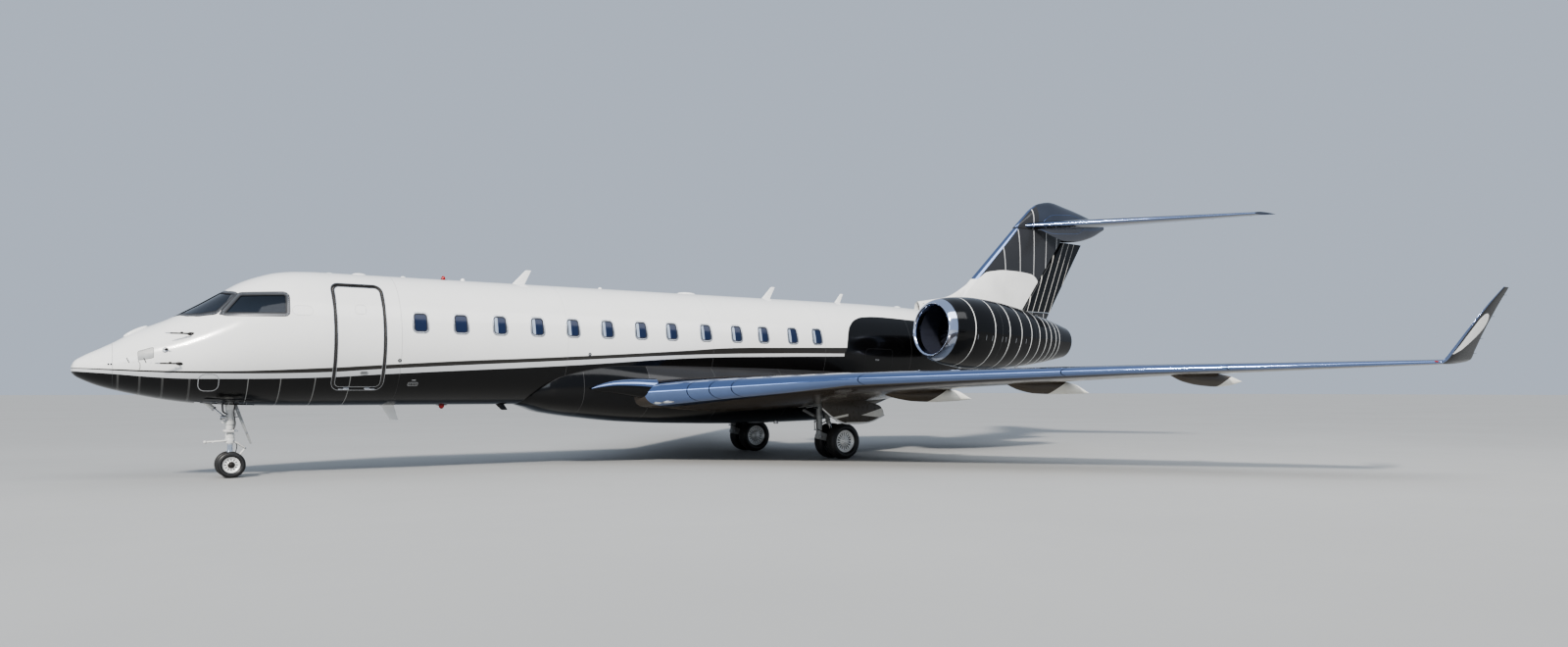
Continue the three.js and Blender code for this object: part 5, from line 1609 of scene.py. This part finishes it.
def addMainGear(name, side):
    x, r = gear["mainX"], mainWheel["radius"]
    post = x - gear["legAhead"]
    y = side * gear["mainY"]
    addWheels(f"main_{name}", f"main_wheels_{name}", mainWheel, x, y, mainwheelTyre)
    upright = moved(post, y, 0) @ spun(-90, "Y")
    barrel = [(0.5, 0), (0.5, 0.07), (0.56, 0.082), (0.66, 0.082), (0.68, 0.074), (1, 0.074), (1.01, 0.092),
        (1.09, 0.092), (1.1, 0.08), (1.36, 0.08), (1.38, 0.095), (1.62, 0.095), (1.62, 0)]
    bm = gather((turned(barrel, 44), 0, upright))
    attach(bm, 0, pin((post, y, 0.56), 0.092, 0.07, segments=36, rim=0.006))
    attach(bm, 1, pin((post, y, 0.56), 0.1, 0.035, rim=0.004))
    # trailing arm: two cheeks and a web
    arm = softened([(post - 0.085, 0.61), (post + 0.06, 0.655), (x + 0.02, r + 0.072),
        (x + 0.068, r + 0.03), (x + 0.068, r - 0.04), (x + 0.02, r - 0.072), (post + 0.02, 0.485),
        (post - 0.07, 0.5)], 0.05, 4)
    for offsetY in (-0.07, 0.03):
        attach(bm, 0, sidePlate(arm, y + offsetY, 0.04, edge=0.007))
    inner = [(post, 0.6), (post + 0.06, 0.625), (x - 0.06, r + 0.045), (x - 0.06, r - 0.04),
        (post + 0.04, 0.51)]
    attach(bm, 0, sidePlate(inner, y - 0.035, 0.07), pin((x, y, r), 0.093, 0.064, segments=36, rim=0.005))
    # brake packs inside the wheels
    for s in (-1, 1):
        for i in range(4):
            attach(bm, 5, rod((x, y + s * (0.1 + 0.022 * i), r), (x, y + s * (0.113 + 0.022 * i), r),
                0.19 - 0.006 * (i == 3), segments=40, rim=0.003))
        for i in range(6):
            turn = 2 * pi * (i + 0.5) / 6
            spot = Vector((x + 0.135 * cos(turn), y + s * 0.088, r + 0.135 * sin(turn)))
            if abs(turn - pi) > 0.6:
                attach(bm, 1, rod(spot, spot + Vector((0, s * 0.02, 0)), 0.026, segments=20, rim=0.003))
    # shock strut: cylinder above, polished rod below
    top, foot = Vector((post + 0.12, y, 1.33)), Vector((x - 0.09, y, r + 0.04))
    line = foot - top
    attach(bm, 0, rod(top, top + line * 0.55, 0.055, segments=32, rim=0.006),
        slab((post + 0.04, y - 0.05, 1.27), (post + 0.14, y + 0.05, 1.39), edge=0.012))
    attach(bm, 1, rod(top + line * 0.53, top + line * 0.57, 0.06, segments=32, rim=0.004),
        pin((top.x, y, top.z), 0.075, 0.04, rim=0.004), pin((foot.x, y, foot.z), 0.08, 0.034, rim=0.004))
    attach(bm, 2, rod(top + line * 0.5, foot, 0.034, segments=28))
    # side brace to the root, its jack and the rod to the door
    attach(bm, 0, rod((post, y, 1), (post - 0.14, side * 1.45, 1.23), 0.04, rim=0.005))
    attach(bm, 2, rod((post - 0.04, y, 1.3), (post - 0.12, side * 1.5, 1.34), 0.028, segments=20, rim=0.004))
    attach(bm, 1, rod((post, y, 1.12), (post, side * 2.438, 1.12), 0.022, segments=16),
        rod((post + 0.02, y, 0.85), (post + 0.03, side * 2.438, 0.99), 0.014, segments=16))
    # hoses
    for shift in (-0.03, 0.03):
        attach(bm, 3, tube([(post - 0.095, y + shift, 1.4), (post - 0.12, y + shift, 1.1),
            (post - 0.1, y + shift * 1.5, 0.75), (post + 0.05, y + shift * 2.7, 0.68),
            (x - 0.2, y + shift * 3, 0.56), (x - 0.08, y + shift * 3.1, r + 0.08)], 0.01))
    for height in (1.25, 0.92, 0.72):
        attach(bm, 1, slab((post - 0.13, y - 0.05, height - 0.012), (post - 0.07, y + 0.05, height + 0.012)))
    addPiece(f"main_leg_skin_{name}", bm, [gearGrey, gearSteel, oilyChrome, hoseBlack, satinAlloy,
        brakeDark], f"main_leg_{name}")

    # leg door with a raised rim, stiffeners behind and a pale lower edge, painted white as a highlight where
    # light catches it
    outline = [(14.96, 1.25), (15.34, 0.985), (15.74, 0.85), (16.42, 0.885), (16.925, 1.058), (16.8, 1.3),
        (16, 1.5), (15, 1.5)]
    face = side * 2.44
    shape = evenly(softened(outline, 0.12, 5), 0.06)
    panel = sidePlate(shape, face, side * 0.022, edge=0.004)
    bm = gather((panel, 0))
    lower = cubic([[14.98, 1.235], [15.34, 0.995], [15.74, 0.862], [16.1, 0.862], [16.42, 0.895],
        [16.9, 1.06]], 5)
    attach(bm, 1, skinned([[(a, face + side * s, b + h) for s, h in ((-0.006, -0.012), (0.029, -0.012),
        (0.029, 0.022), (-0.006, 0.022))] for a, b in lower]))
    for shift in (15.4, 15.85, 16.3):
        attach(bm, 2, slab((shift, min(face - side * 0.02, face), 0.93),
            (shift + 0.03, max(face - side * 0.02, face), 1.42), edge=0.003))
    addPiece(f"main_gear_door_skin_{name}", bm, [gearDoorPaint, whiteGloss, gearGrey],
        f"main_gear_door_{name}")

    # a dark sheet over the leg on the lower wing surface, painted shade standing in for the gear well
    well = evenly(softened([(14.75, 1.72), (16.25, 1.72), (16.35, 2.05), (16.2, 2.4), (14.95, 2.4),
        (14.75, 2.1)], 0.1, 4), 0.08)

    def under(a, b, rise):
        _, x0, z0, x1, z1, thickness = rowAt(wingTable, b)
        place = wingPoint(b, max(0.02, min(1, (a - x0) / (x1 - x0))), -1, rise)
        return Vector((place.x, side * b, place.z))

    bm = gather((pane(well, under, 0.004, rows=8), 0), (trim(well, -0.01, 0.012, 0.008, under), 1))
    for a in (15, 15.45, 15.95):
        attach(bm, 1, tube([under(a, b, 0.02) for b in spread(1.76, 2.36, 5)], 0.016))
    addPiece(f"gear_well_shade_{name}", bm, [paintedShadeBlack, gearGrey])


# Passenger door

door = {"gap": 0.008, "topGap": 0.022, "thickness": 0.07, "hingeY": -0.925, "hingeZ": 1.705, "open": 125,
    "treads": 5}


def knuckles(spans, low, inner, high):
    # barrels of the hinge, each with a plate that carries it
    bm = bmesh.new()
    y, z = door["hingeY"], door["hingeZ"]
    for start, end in spans:
        barrel = rod((start, y, z), (end, y, z), 0.015, segments=20, rim=0.002)
        attach(bm, None, barrel, slab((start, y, low), (end, inner, high), edge=0.002))
    return bm


def addDoor():
    d = doorway
    outline = roundedBox(d["x0"] + door["gap"], d["x1"] - door["gap"], d["z0"] + door["gap"],
        d["z1"] - door["topGap"], d["corner"] - door["gap"], steps=10)
    shell = carve(skinSolid(4.1, 5.25, gap=0.09), skinSolid(4, 5.35, inset=door["thickness"], gap=0.09))
    panel = carve(shell, sidePlate(outline, -1.6, 1.1), "INTERSECT")
    markInside(panel)
    bm = gather((panel, None))
    spot = lambda a, b, out: onSide(a, b, -1, out)
    open_ = radians(door["open"])
    for i in range(door["treads"]):
        along = 0.42 + i * 0.33
        z = door["hingeZ"] + along
        y = -sqrt((1.345 - door["thickness"] + 0.008) ** 2 - (z - 2.72) ** 2)
        place = moved(0, y, z) @ Matrix.Rotation(-open_, 4, "X")
        x0, x1 = d["x0"] + 0.13, d["x1"] - 0.13
        attach(bm, 2, slab((x0, -0.288, -0.014), (x1, -0.006, 0.013), edge=0.006), at=place)
        attach(bm, 3, slab((x0 + 0.02, -0.29, 0.011), (x1 - 0.02, -0.27, 0.017), edge=0.002), at=place)
        attach(bm, 4, slab((x0 + 0.02, -0.26, 0.0125), (x1 - 0.02, -0.03, 0.0155), edge=0.001), at=place)
    # handrails along both edges of the inner face
    for x in (d["x0"] + 0.085, d["x1"] - 0.085):
        rail = []
        for z in (2, 2.35, 2.72, 3.1, 3.45):
            inner = sqrt((1.345 - 0.105) ** 2 - (z - 2.72) ** 2)
            rail.append((x, -inner + (0 if z in (2, 3.45) else 0.012), z))
        attach(bm, 3, tube(rail, 0.011, segments=10))
        for z in (2.02, 2.72, 3.43):
            inner = sqrt((1.345 - 0.08) ** 2 - (z - 2.72) ** 2)
            attach(bm, 3, rod((x, -inner - 0.012, z), (x, -inner + 0.045, z), 0.007, segments=10))
    # hinge knuckles below the sill
    attach(bm, 3, knuckles(((4.4305, 4.53), (4.82, 4.9195)), 1.702, -0.906, 1.745))
    addPiece("passenger_door_skin", bm, [fuselagePaint, cabinTrim, satinAlloy, gearSteel, carpet],
        "passenger_door", body="passenger_door", normalAt=skinNormal, sharp=28)

    # seal, window outline, handle and a pull on the outside of the door
    bm = gather((trim(outline, -0.026, -0.0005, 0.004, spot), 0),
        (trim(outline, -0.034, -0.0255, 0.005, spot), 1))
    attach(bm, 2, trim(roundedBox(4.59, 4.79, 3.17, 3.36, 0.06), -0.004, 0, 0.002, spot))
    handle = evenly(roundedBox(4.7, 4.84, 2, 2.055, 0.02), 0.02)
    attach(bm, 1, pane(handle, spot, 0.002, rows=3))
    attach(bm, 0, trim(handle, -0.004, 0.003, 0.004, spot))
    attach(bm, 0, slab((4.72, -0.004, 2.022), (4.82, 0.008, 2.034), edge=0.003),
        at=moved(0, onSide(4.77, 2.03, -1, 0.006).y, 0))
    addPiece("passenger_door_trim", bm, [rubberSeal, satinAlloy, panelLine],
        body="passenger_door")
    edge = roundedBox(d["x0"], d["x1"], d["z0"], d["z1"], d["corner"], steps=10)
    bm = gather((trim(edge, 0.0005, 0.024, 0.004, spot), 0), (trim(edge, 0.0235, 0.032, 0.005, spot), 1))
    attach(bm, 2, knuckles(((4.33, 4.43), (4.92, 5.02)), 1.692, -0.88, 1.712))
    addPiece("doorway_trim", bm, [rubberSeal, satinAlloy, gearSteel])


# Flight deck and entry

def displayPattern(tree):
    # plain lit screens: a horizon and a few bars, drawn over the glass of each display
    u, v = uvParts(tree)
    inside = within(u, 0.08, 0.92) * within(v, 0.1, 0.9)
    sky = blend(tree, v > 0.48, (0.1, 0.06, 0.03), (0.03, 0.09, 0.2))
    bars = rings(v, (0.2, 0.34, 0.48, 0.62, 0.76), 0.012)
    marks = bars * within(u, 0.38, 0.62)
    color = blend(tree, marks, sky, (0.5, 0.6, 0.55))
    return {"color": blend(tree, inside, (0.008, 0.008, 0.009), color)}


panelLine = finish("panel_line", 0.4, (0.42, 0.42, 0.42), patch=20, grain=(0.1, 200))
displayGlass = finish("display_glass", 0.12, patch=20, pattern=displayPattern, extra={"Coat Weight": 0.5})
panelGrey = finish("panel_grey", 0.6, (0.085, 0.09, 0.095), patch=10, grain=(0.15, 180))


def leatherPattern(tree):
    place = addNode(tree, "TexCoord", output="Object")
    pores = addNode(tree, "TexVoronoi", {"Vector": place, "Scale": 330})
    return {"color": blend(tree, ranged(pores, 0, 0.35, 0.2, 0.7), (0.17, 0.135, 0.1), (0.09, 0.07, 0.055)),
        "height": pores * 0.35}


seatLeather = finish("seat_leather", 0.5, shade=0.82, patch=7, grain=(0.1, 140), pattern=leatherPattern,
    extra={"Sheen Weight": 0.15})


def cushion(low, high, crown, seams=()):
    # a crowned pad: a rounded block swelled towards its middle, drawn in along its seams
    low, high = Vector(low), Vector(high)
    size, middle = high - low, (low + high) / 2
    bm = bmesh.new()
    bmesh.ops.create_cube(bm, size=1)
    bmesh.ops.subdivide_edges(bm, edges=bm.edges[:], cuts=11, use_grid_fill=True)
    for vert in bm.verts:
        unit = vert.co * 2
        rounded = Vector([c * sqrt(max(0, 1 - (a * a + b * b) * 0.16 + a * a * b * b * 0.06))
            for c, a, b in ((unit.x, unit.y, unit.z), (unit.y, unit.z, unit.x), (unit.z, unit.x, unit.y))])
        swell = (1 - unit.x**2) * (1 - unit.y**2)
        place = Vector((rounded.x * size.x / 2, rounded.y * size.y / 2,
            rounded.z * size.z / 2 * (1 + crown * swell)))
        for axis, where in seams:
            gap = abs(place[axis] - where)
            if gap < 0.03:
                place.z *= 1 - 0.1 * (1 - gap / 0.03)
        vert.co = middle + place
    bmesh.ops.smooth_vert(bm, verts=bm.verts, factor=0.3, use_axis_x=True, use_axis_y=True, use_axis_z=True)
    return outward(bm)


deckFloor = 1.955


def addPanel():
    # instrument panel, glare shield, displays and pedestal
    bm = bmesh.new()
    outline = [(1.72, deckFloor), (1.95, deckFloor), (1.95, 2.55), (1.88, 2.86), (1.72, 2.86)]
    attach(bm, 0, sidePlate(outline, -0.58, 1.16, edge=0.02),
        prism([(1.66, -0.42, 2.862), (2.07, -0.68, 2.862), (2.07, 0.68, 2.862), (1.66, 0.42, 2.862)],
        (0, 0, 0.055), edge=0.015), sidePlate([(1.9, deckFloor), (2.74, deckFloor), (2.74, 2.32),
        (2.3, 2.43), (1.9, 2.55)], -0.14, 0.28, edge=0.02))
    for y in (-0.43, -0.145, 0.145, 0.43):
        screen = sheet(1, 1, lambda u, v, y=y: Vector((1.957 - 0.06 * v, y - 0.125 + 0.25 * (1 - u),
            2.58 + 0.22 * v)))
        attach(bm, 1, outward(screen))
    for i in range(5):
        for y in (-0.09, -0.03, 0.03, 0.09):
            attach(bm, 2, rod((2.36 + i * 0.08, y, 2.36 - i * 0.012),
                (2.36 + i * 0.08, y, 2.44 - i * 0.014), 0.012, segments=12, rim=0.002))
    for y in (-0.04, 0.04):
        attach(bm, 2, rod((2.12, y, 2.42), (2.06, y, 2.58), 0.012, segments=12, rim=0.002))
        attach(bm, 0, slab((2.03, y - 0.028, 2.56), (2.09, y + 0.028, 2.61), edge=0.01))
    addPiece("instrument_panel_skin", bm, [panelGrey, displayGlass, gearSteel],
        "instrument_panel")


seat = {"x": 2.75, "y": 0.53, "lean": -81, "fill": 0.6}


def addSeat(name, side):
    # control column
    y = side * seat["y"]
    bm = gather((rod((2.06, y, deckFloor), (2.13, y, 2.52), 0.022, segments=20, rim=0.002), 0),
        (tube([(2.13, y - 0.15, 2.62), (2.14, y - 0.13, 2.53), (2.13, y, 2.5), (2.14, y + 0.13, 2.53),
        (2.13, y + 0.15, 2.62)], 0.016, segments=10), 0))
    addPiece(f"control_column_{name}", bm, [panelGrey])
    # seat: shell and pedestal, then the padded parts
    base = moved(seat["x"], y, deckFloor)
    bm = gather((slab((-0.14, -0.12, 0), (0.14, 0.12, 0.3), edge=0.012), 0, base),
        (slab((-0.24, -0.235, 0.285), (0.25, 0.235, 0.325), edge=0.012), 0, base))
    back = [(0.2, 0.36), (0.3, 0.36), (0.4, 1), (0.33, 1.01)]
    attach(bm, 0, prism([(a + 0.03, -0.22, b) for a, b in back], (0, 0.44, 0), edge=0.014), at=base)
    for arm in (-1, 1):
        attach(bm, 0, slab((-0.08, arm * 0.262 - 0.022, 0.5), (0.26, arm * 0.262 + 0.022, 0.545),
            edge=0.012), at=base)
    addPiece(f"seat_shell_{name}", bm, [panelGrey], f"pilot_seat_{name}")
    pads = {
        "cushion": cushion((-0.26, -0.235, 0.32), (0.22, 0.235, 0.43), 0.22, seams=((1, -0.13), (1, 0.13))),
        "back": cushion((-0.3, -0.225, 0), (0.3, 0.225, 0.1), 0.3, seams=((1, -0.13), (1, 0.13), (0, 0))),
        "headrest": cushion((-0.09, -0.12, 0), (0.09, 0.12, 0.08), 0.3),
    }
    lean = spun(seat["lean"], "Y")
    places = {"cushion": base, "back": base @ moved(0.275, 0, 0.7) @ lean,
        "headrest": base @ moved(0.37, 0, 1.1) @ lean}
    for word, pad in pads.items():
        item = addPiece(f"seat_{word}_{name}", gather((pad, 0, places[word])), [seatLeather],
            sharp=70)


# Aerials, probes, lamps and small panels

def bladeAerial(x, chord, height, sweep, tipChord, foot, up=1):
    loops = []
    for t in (0, 0.3, 0.6, 0.85, 0.97, 1):
        size = chord + (tipChord - chord) * t
        start = x + (chord - tipChord + sweep) * t + (0.02 if t == 1 else 0)
        size -= 0.03 if t == 1 else 0
        ring = foilRing(0, 1, 8)
        loops.append([Vector((start + size * f, side * foil(f, 0.11) * size * 0.9, foot + up * height * t))
            for f, side in ring])
    return closed(skinned(loops))


def dome(place, radius, height, stretch=1, normal=(0, 0, 1)):
    # a low round cover sitting on the skin
    bm = bmesh.new()
    bmesh.ops.create_uvsphere(bm, u_segments=28, v_segments=14, radius=1)
    bmesh.ops.bisect_plane(bm, geom=bm.verts[:] + bm.edges[:] + bm.faces[:], plane_co=(0, 0, -0.15),
        plane_no=(0, 0, 1), clear_inner=True)
    closed(bm)
    bmesh.ops.scale(bm, vec=(radius * stretch, radius, height), verts=bm.verts)
    normal = Vector(normal).normalized()
    along = Vector((1, 0, 0)) - normal * normal.x if abs(normal.x) < 0.95 else Vector((0, 1, 0))
    along.normalize()
    turn = Matrix((along, normal.cross(along), normal)).transposed().to_4x4()
    bmesh.ops.transform(bm, matrix=Matrix.Translation(place) @ turn, verts=bm.verts)
    return bm


def footing(x, z, side):
    # a point of the fuselage side and the way out of it
    place = onSide(x, z, side)
    return place, skinNormal(place)


def discOn(x, z, side, radius, rise):
    # a flat disc lying on the fuselage side
    place, normal = footing(x, z, side)
    return rod(place - normal * 0.01, place + normal * rise, radius, segments=28, rim=0.001)


def wicks(tips, side, inside, outside, rise=0):
    # thin rods that start inside the trailing edge and stand out behind it
    bm = bmesh.new()
    for tip in tips:
        tip.y *= side
        start, end = tip - Vector((inside, 0, 0)), tip + Vector((outside, 0, rise))
        attach(bm, 0, rod(start, end, 0.004, 0.002, segments=6))
    return bm


def addSideDetails(name, side):
    spot = lambda a, b, out: onSide(a, b, side, out)
    # probes on the nose: an oval foot, a short arm and a tapered head pointing forward
    bm = bmesh.new()
    for x, z, length in ((1.82, 2.721, 0.36), (1.634, 2.171, 0.34)):
        foot, normal = footing(x, z, side)
        attach(bm, 0, dome(foot, 0.03, 0.018, stretch=1.9, normal=normal))
        knee = Vector((x - 0.05, foot.y + side * 0.075, z))
        attach(bm, 0, tube([foot, foot + normal * 0.03 + Vector((-0.01, 0, 0)), knee,
            knee - Vector((0.06, 0, 0))], 0.014, segments=12),
            rod(knee - Vector((0.06, 0, 0)), knee - Vector((length - 0.08, 0, 0)), 0.013, segments=14,
            rim=0.002), slab((x - 0.17, knee.y - 0.004, z), (x - 0.13, knee.y + 0.004, z + 0.03),
            edge=0.002))
        attach(bm, 1, rod(knee - Vector((length - 0.08, 0, 0)), knee - Vector((length, 0, 0)), 0.011, 0.006,
            segments=14))
    # turning vane between them
    foot, normal = footing(1.42, 2.418, side)
    attach(bm, 1, dome(foot, 0.05, 0.012, normal=normal))
    attach(bm, 0, rod(foot, foot + normal * 0.03, 0.014, segments=16, rim=0.002),
        prism([foot + normal * 0.02 + Vector((-0.015, 0, 0.005)),
        foot + normal * 0.11 + Vector((0.04, 0, 0.005)), foot + normal * 0.11 + Vector((0.085, 0, -0.002)),
        foot + normal * 0.02 + Vector((0.05, 0, -0.002))], (0, 0, -0.006), edge=0.001))
    # curved drain line ahead of it
    attach(bm, 0, tube([onSide(a, b, side, 0.001) for a, b in ((1.004, 2.22), (1.035, 2.15), (1.035, 2.1),
        (1.022, 2.06))], 0.004))
    addPiece(f"nose_probes_{name}", bm, [probeDark, gearSteel])

    # static ports, an oval line behind the window drawn round a painted reflection, the service panel and the
    # vent
    bm = bmesh.new()
    for x, z in ((5.42, 2.28), (9.46, 2.48)):
        attach(bm, 0, discOn(x, z, side, 0.036, 0.003))
        attach(bm, 1, discOn(x, z, side, 0.019, 0.004))
    for x in (0.852, 1.11):
        attach(bm, 0, tube([onSide(x + 0.018 * t, 2.227 - 0.044 * t, side, -0.003)
            for t in (-1, -0.5, 0, 0.5, 1)], 0.008, segments=10))
    # a grey parallelogram plate in a rubber edge: a painted shadow on the nose side
    plate = [(0.999, 2.39), (1.242, 2.472), (1.239, 2.27), (1.004, 2.225)]
    attach(bm, 3, pane(softened(plate, 0.012, 3), spot, 0.0015))
    attach(bm, 0, trim(softened(plate, 0.012, 3), -0.004, 0.001, 0.003, spot))
    for x in (0.56, 0.6):
        attach(bm, 0, discOn(x, 2.155, side, 0.016, 0.002))
    for x in (0.727, 0.801, 0.93, 1.2, 1.29):
        attach(bm, 1, discOn(x, 2.184, side, 0.006, 0.002))
    panels = [
        # from, to, low, high, corner, width, rise, material
        (1.93, 2.275, 1.668, 1.99, 0.12, 0.014, 0.003, 1), (3.47, 3.83, 3.11, 3.3, 0.09, 0.004, 0.0015, 2),
        (5.64, 5.84, 1.775, 1.85, 0.012, 0.008, 0.004, 1), (5.7, 5.79, 1.885, 1.9, 0.006, 0.007, 0.003, 1),
        # baggage door, and a hatch in the tail
        (17.2, 18.12, 1.98, 2.78, 0.1, 0.006, 0.0018, 0), (20.6, 21.3, 2.55, 2.95, 0.08, 0.005, 0.0018, 0),
    ]
    for x0, x1, z0, z1, corner, width, rise, material in panels:
        attach(bm, material, trim(roundedBox(x0, x1, z0, z1, corner), -width, 0, rise, spot))
    for i in range(6):
        attach(bm, 2 if i % 2 else 1, discOn(5.665 + i * 0.03, 1.812, side, 0.01, 0.003))
    # handle of the baggage door
    attach(bm, 1, trim(evenly(roundedBox(17.53, 17.66, 2.47, 2.51, 0.012), 0.02), -0.012, 0, 0.004, spot))
    addPiece(f"side_fittings_{name}", bm, [rubberSeal, satinAlloy, panelLine, gearGrey])

    # landing lamps at the wing root, wing tip lamps, and the glove ahead of the root
    glove = cubic([[9.46, 1.72, 0.012, 1.4, 0.012], [9.6, 1.735, 0.07, 1.415, 0.055],
        [9.98, 1.765, 0.145, 1.45, 0.12], [10.4, 1.75, 0.2, 1.49, 0.165], [10.95, 1.7, 0.25, 1.54, 0.21]],
        5)
    loops = [oval(x, side * y, z, side * wide, tall, 32) for x, z, tall, y, wide in glove]
    body = closed(skinned(loops))
    for face in body.faces:
        face.normal_update()
        face.material_index = 1 if face.normal.z > 0.15 else 0
    addPiece(f"root_glove_{name}", body, [blackGloss, chrome])
    bm = bmesh.new()
    for y, half in ((1.73, 0.055), (1.92, 0.085)):
        rim = [(y + half * cos(a), 0.029 + 0.0055 * sin(a)) for a in turns(40)]
        lower = lambda a, b, out: Vector((slatPoint(a, b, -1).x - out * 0.4, side * a,
            slatPoint(a, b, -1).z - out))
        attach(bm, 0, pane(rim, lower, 0.004))
        ringed = [[lower(y + (p - y) * k, 0.029 + (q - 0.029) * k, out) for p, q in rim]
            for k, out in ((1, 0.004), (1.05, 0.007), (1.25, 0.007), (1.3, 0))]
        attach(bm, 1, skinned(ringed))
    addPiece(f"landing_lamps_{name}", bm, [paleLens, satinAlloy])
    tip = wingPoint(13.52, 0.02, 1)
    lamp = dome((tip.x + 0.012, side * tip.y, tip.z - 0.01), 0.018, 0.026, stretch=3, normal=(-1, 0, 0))
    addPiece(f"tip_lamp_{name}", gather((lamp, 0)), [redLens if side < 0 else greenLens])

    # static wicks
    tips = [wingletPoint(station, 1, 1) for station in (1.6, 2.6, 3.6, 4.6)]
    addPiece(f"winglet_wicks_{name}", wicks(tips, side, 0.02, 0.13, 0.01), [rubberSeal])
    tips = [wingPoint(y, 1, 1) for y in (10.7, 11.7, 12.7)]
    addPiece(f"aileron_wicks_{name}", wicks(tips, side, 0.03, 0.14), [rubberSeal],
        body=f"aileron_{name}")
    tips = [tailPoint(y, 1, 1) for y in (2.2, 3.2, 4.2)]
    addPiece(f"elevator_wicks_{name}", wicks(tips, side, 0.03, 0.13), [rubberSeal],
        body=f"elevator_{name}")


def addDetails():
    # blades on the crown and keel, and low covers along the crown
    bm = bmesh.new()
    for x, chord, height, sweep, tip in ((8.15, 0.29, 0.345, 0.17, 0.13), (14.8, 0.26, 0.335, 0.17, 0.12),
            (17.16, 0.19, 0.27, 0.12, 0.1)):
        attach(bm, 0, bladeAerial(x, chord, height, sweep, tip, 4.05),
            dome((x + chord * 0.55, 0, 4.064), 0.05, 0.012, stretch=chord * 13))
    attach(bm, 0, bladeAerial(5.34, 0.26, 0.33, 0.1, 0.17, 1.395, up=-1),
        slab((5.33, -0.05, 1.368), (5.62, 0.05, 1.384), edge=0.005))
    attach(bm, 1, bladeAerial(7.77, 0.2, 0.14, 0.09, 0.14, 1.392, up=-1))
    for x, radius, height, stretch in ((4.92, 0.07, 0.04, 2), (12.6, 0.075, 0.05, 3.4),
            (5.8, 0.045, 0.03, 1.2), (7.06, 0.04, 0.06, 1.3), (10.29, 0.04, 0.045, 1.2),
            (4.35, 0.04, 0.015, 1.6), (19.4, 0.06, 0.04, 2)):
        attach(bm, 0, dome((x, 0, onCrown(x, 0).z), radius, height, stretch=stretch))
    addPiece("aerials", bm, [whiteGloss, blackGloss])
    # flashing beacons above and below
    bm = gather((dome((6.64, 0, 4.064), 0.075, 0.02, stretch=1.3), 1),
        (dome((6.64, 0, 4.078), 0.045, 0.075), 0))
    attach(bm, None, gather((dome((6.6, 0, 1.376), 0.095, 0.02, stretch=1.3, normal=(0, 0, -1)), 1),
        (dome((6.6, 0, 1.364), 0.06, 0.075, normal=(0, 0, -1)), 0)))
    addPiece("beacons", bm, [redLens, blackGloss])

    for name, side in sides:
        addSideDetails(name, side)

    # lamp blister on the nose crown, and the tail lamp
    bm = gather((dome(onCrown(0.99, -0.03), 0.045, 0.04, stretch=4.8,
        normal=skinNormal(onCrown(0.99, -0.03))), 0))
    addPiece("nose_blister", bm, [whiteGloss])
    bm = gather((dome((28.3, 0, 7.05), 0.035, 0.05, normal=(1, 0, 0)), 0),
        (dome((28.28, 0, 7.05), 0.045, 0.02, normal=(1, 0, 0)), 1))
    addPiece("tail_lamp", bm, [smokedLens, satinAlloy])

    # raised seal where the tailplane pivots in the bullet
    rows = cubic([[24.1, 6.74, 6.69, 0.04], [24.45, 7.03, 6.64, 0.12], [24.8, 7.29, 6.6, 0.19],
        [25.2, 7.51, 6.55, 0.25], [25.7, 7.65, 6.48, 0.285], [26.3, 7.56, 6.43, 0.285],
        [27, 7.43, 6.5, 0.245], [27.7, 7.27, 6.69, 0.165], [28.3, 7.12, 6.98, 0.045]], 5)
    bm = bmesh.new()
    for side in (-1, 1):
        def onBullet(a, b, out, side=side):
            _, top, bottom, halfWidth = rowAt(rows, a)
            sine = max(-0.98, min(0.98, (b - (top + bottom) / 2) / ((top - bottom) / 2)))
            return Vector((a, side * (halfWidth + out) * sqrt(1 - sine**2), b + out * sine))

        attach(bm, 0, trim(softened([(24.95, 6.75), (25.4, 7.2), (26.6, 7.3), (27.3, 7.1), (26.9, 6.72),
            (25.6, 6.62)], 0.3, 6), -0.012, 0, 0.006, onBullet))
    addPiece("bullet_seal", bm, [chrome])


setStage()
print("stage set")
addFuselage()
print("fuselage done")
for name, side in sides:
    addWindows(name, side)
print("windows done")
addFairing()
for name, side in sides:
    addWing(name, side)
print("wings done")
for name, side in sides:
    addEngine(name, side)
for name, side in sides:
    addPylon(name, side)
print("engines done")
addTail()
print("tail done")
addNoseGear()
for name, side in sides:
    addMainGear(name, side)
print("gear done")
addDoor()
addPanel()
for name, side in sides:
    addSeat(name, side)
print("door and flight deck done")
addDetails()
print("details done")
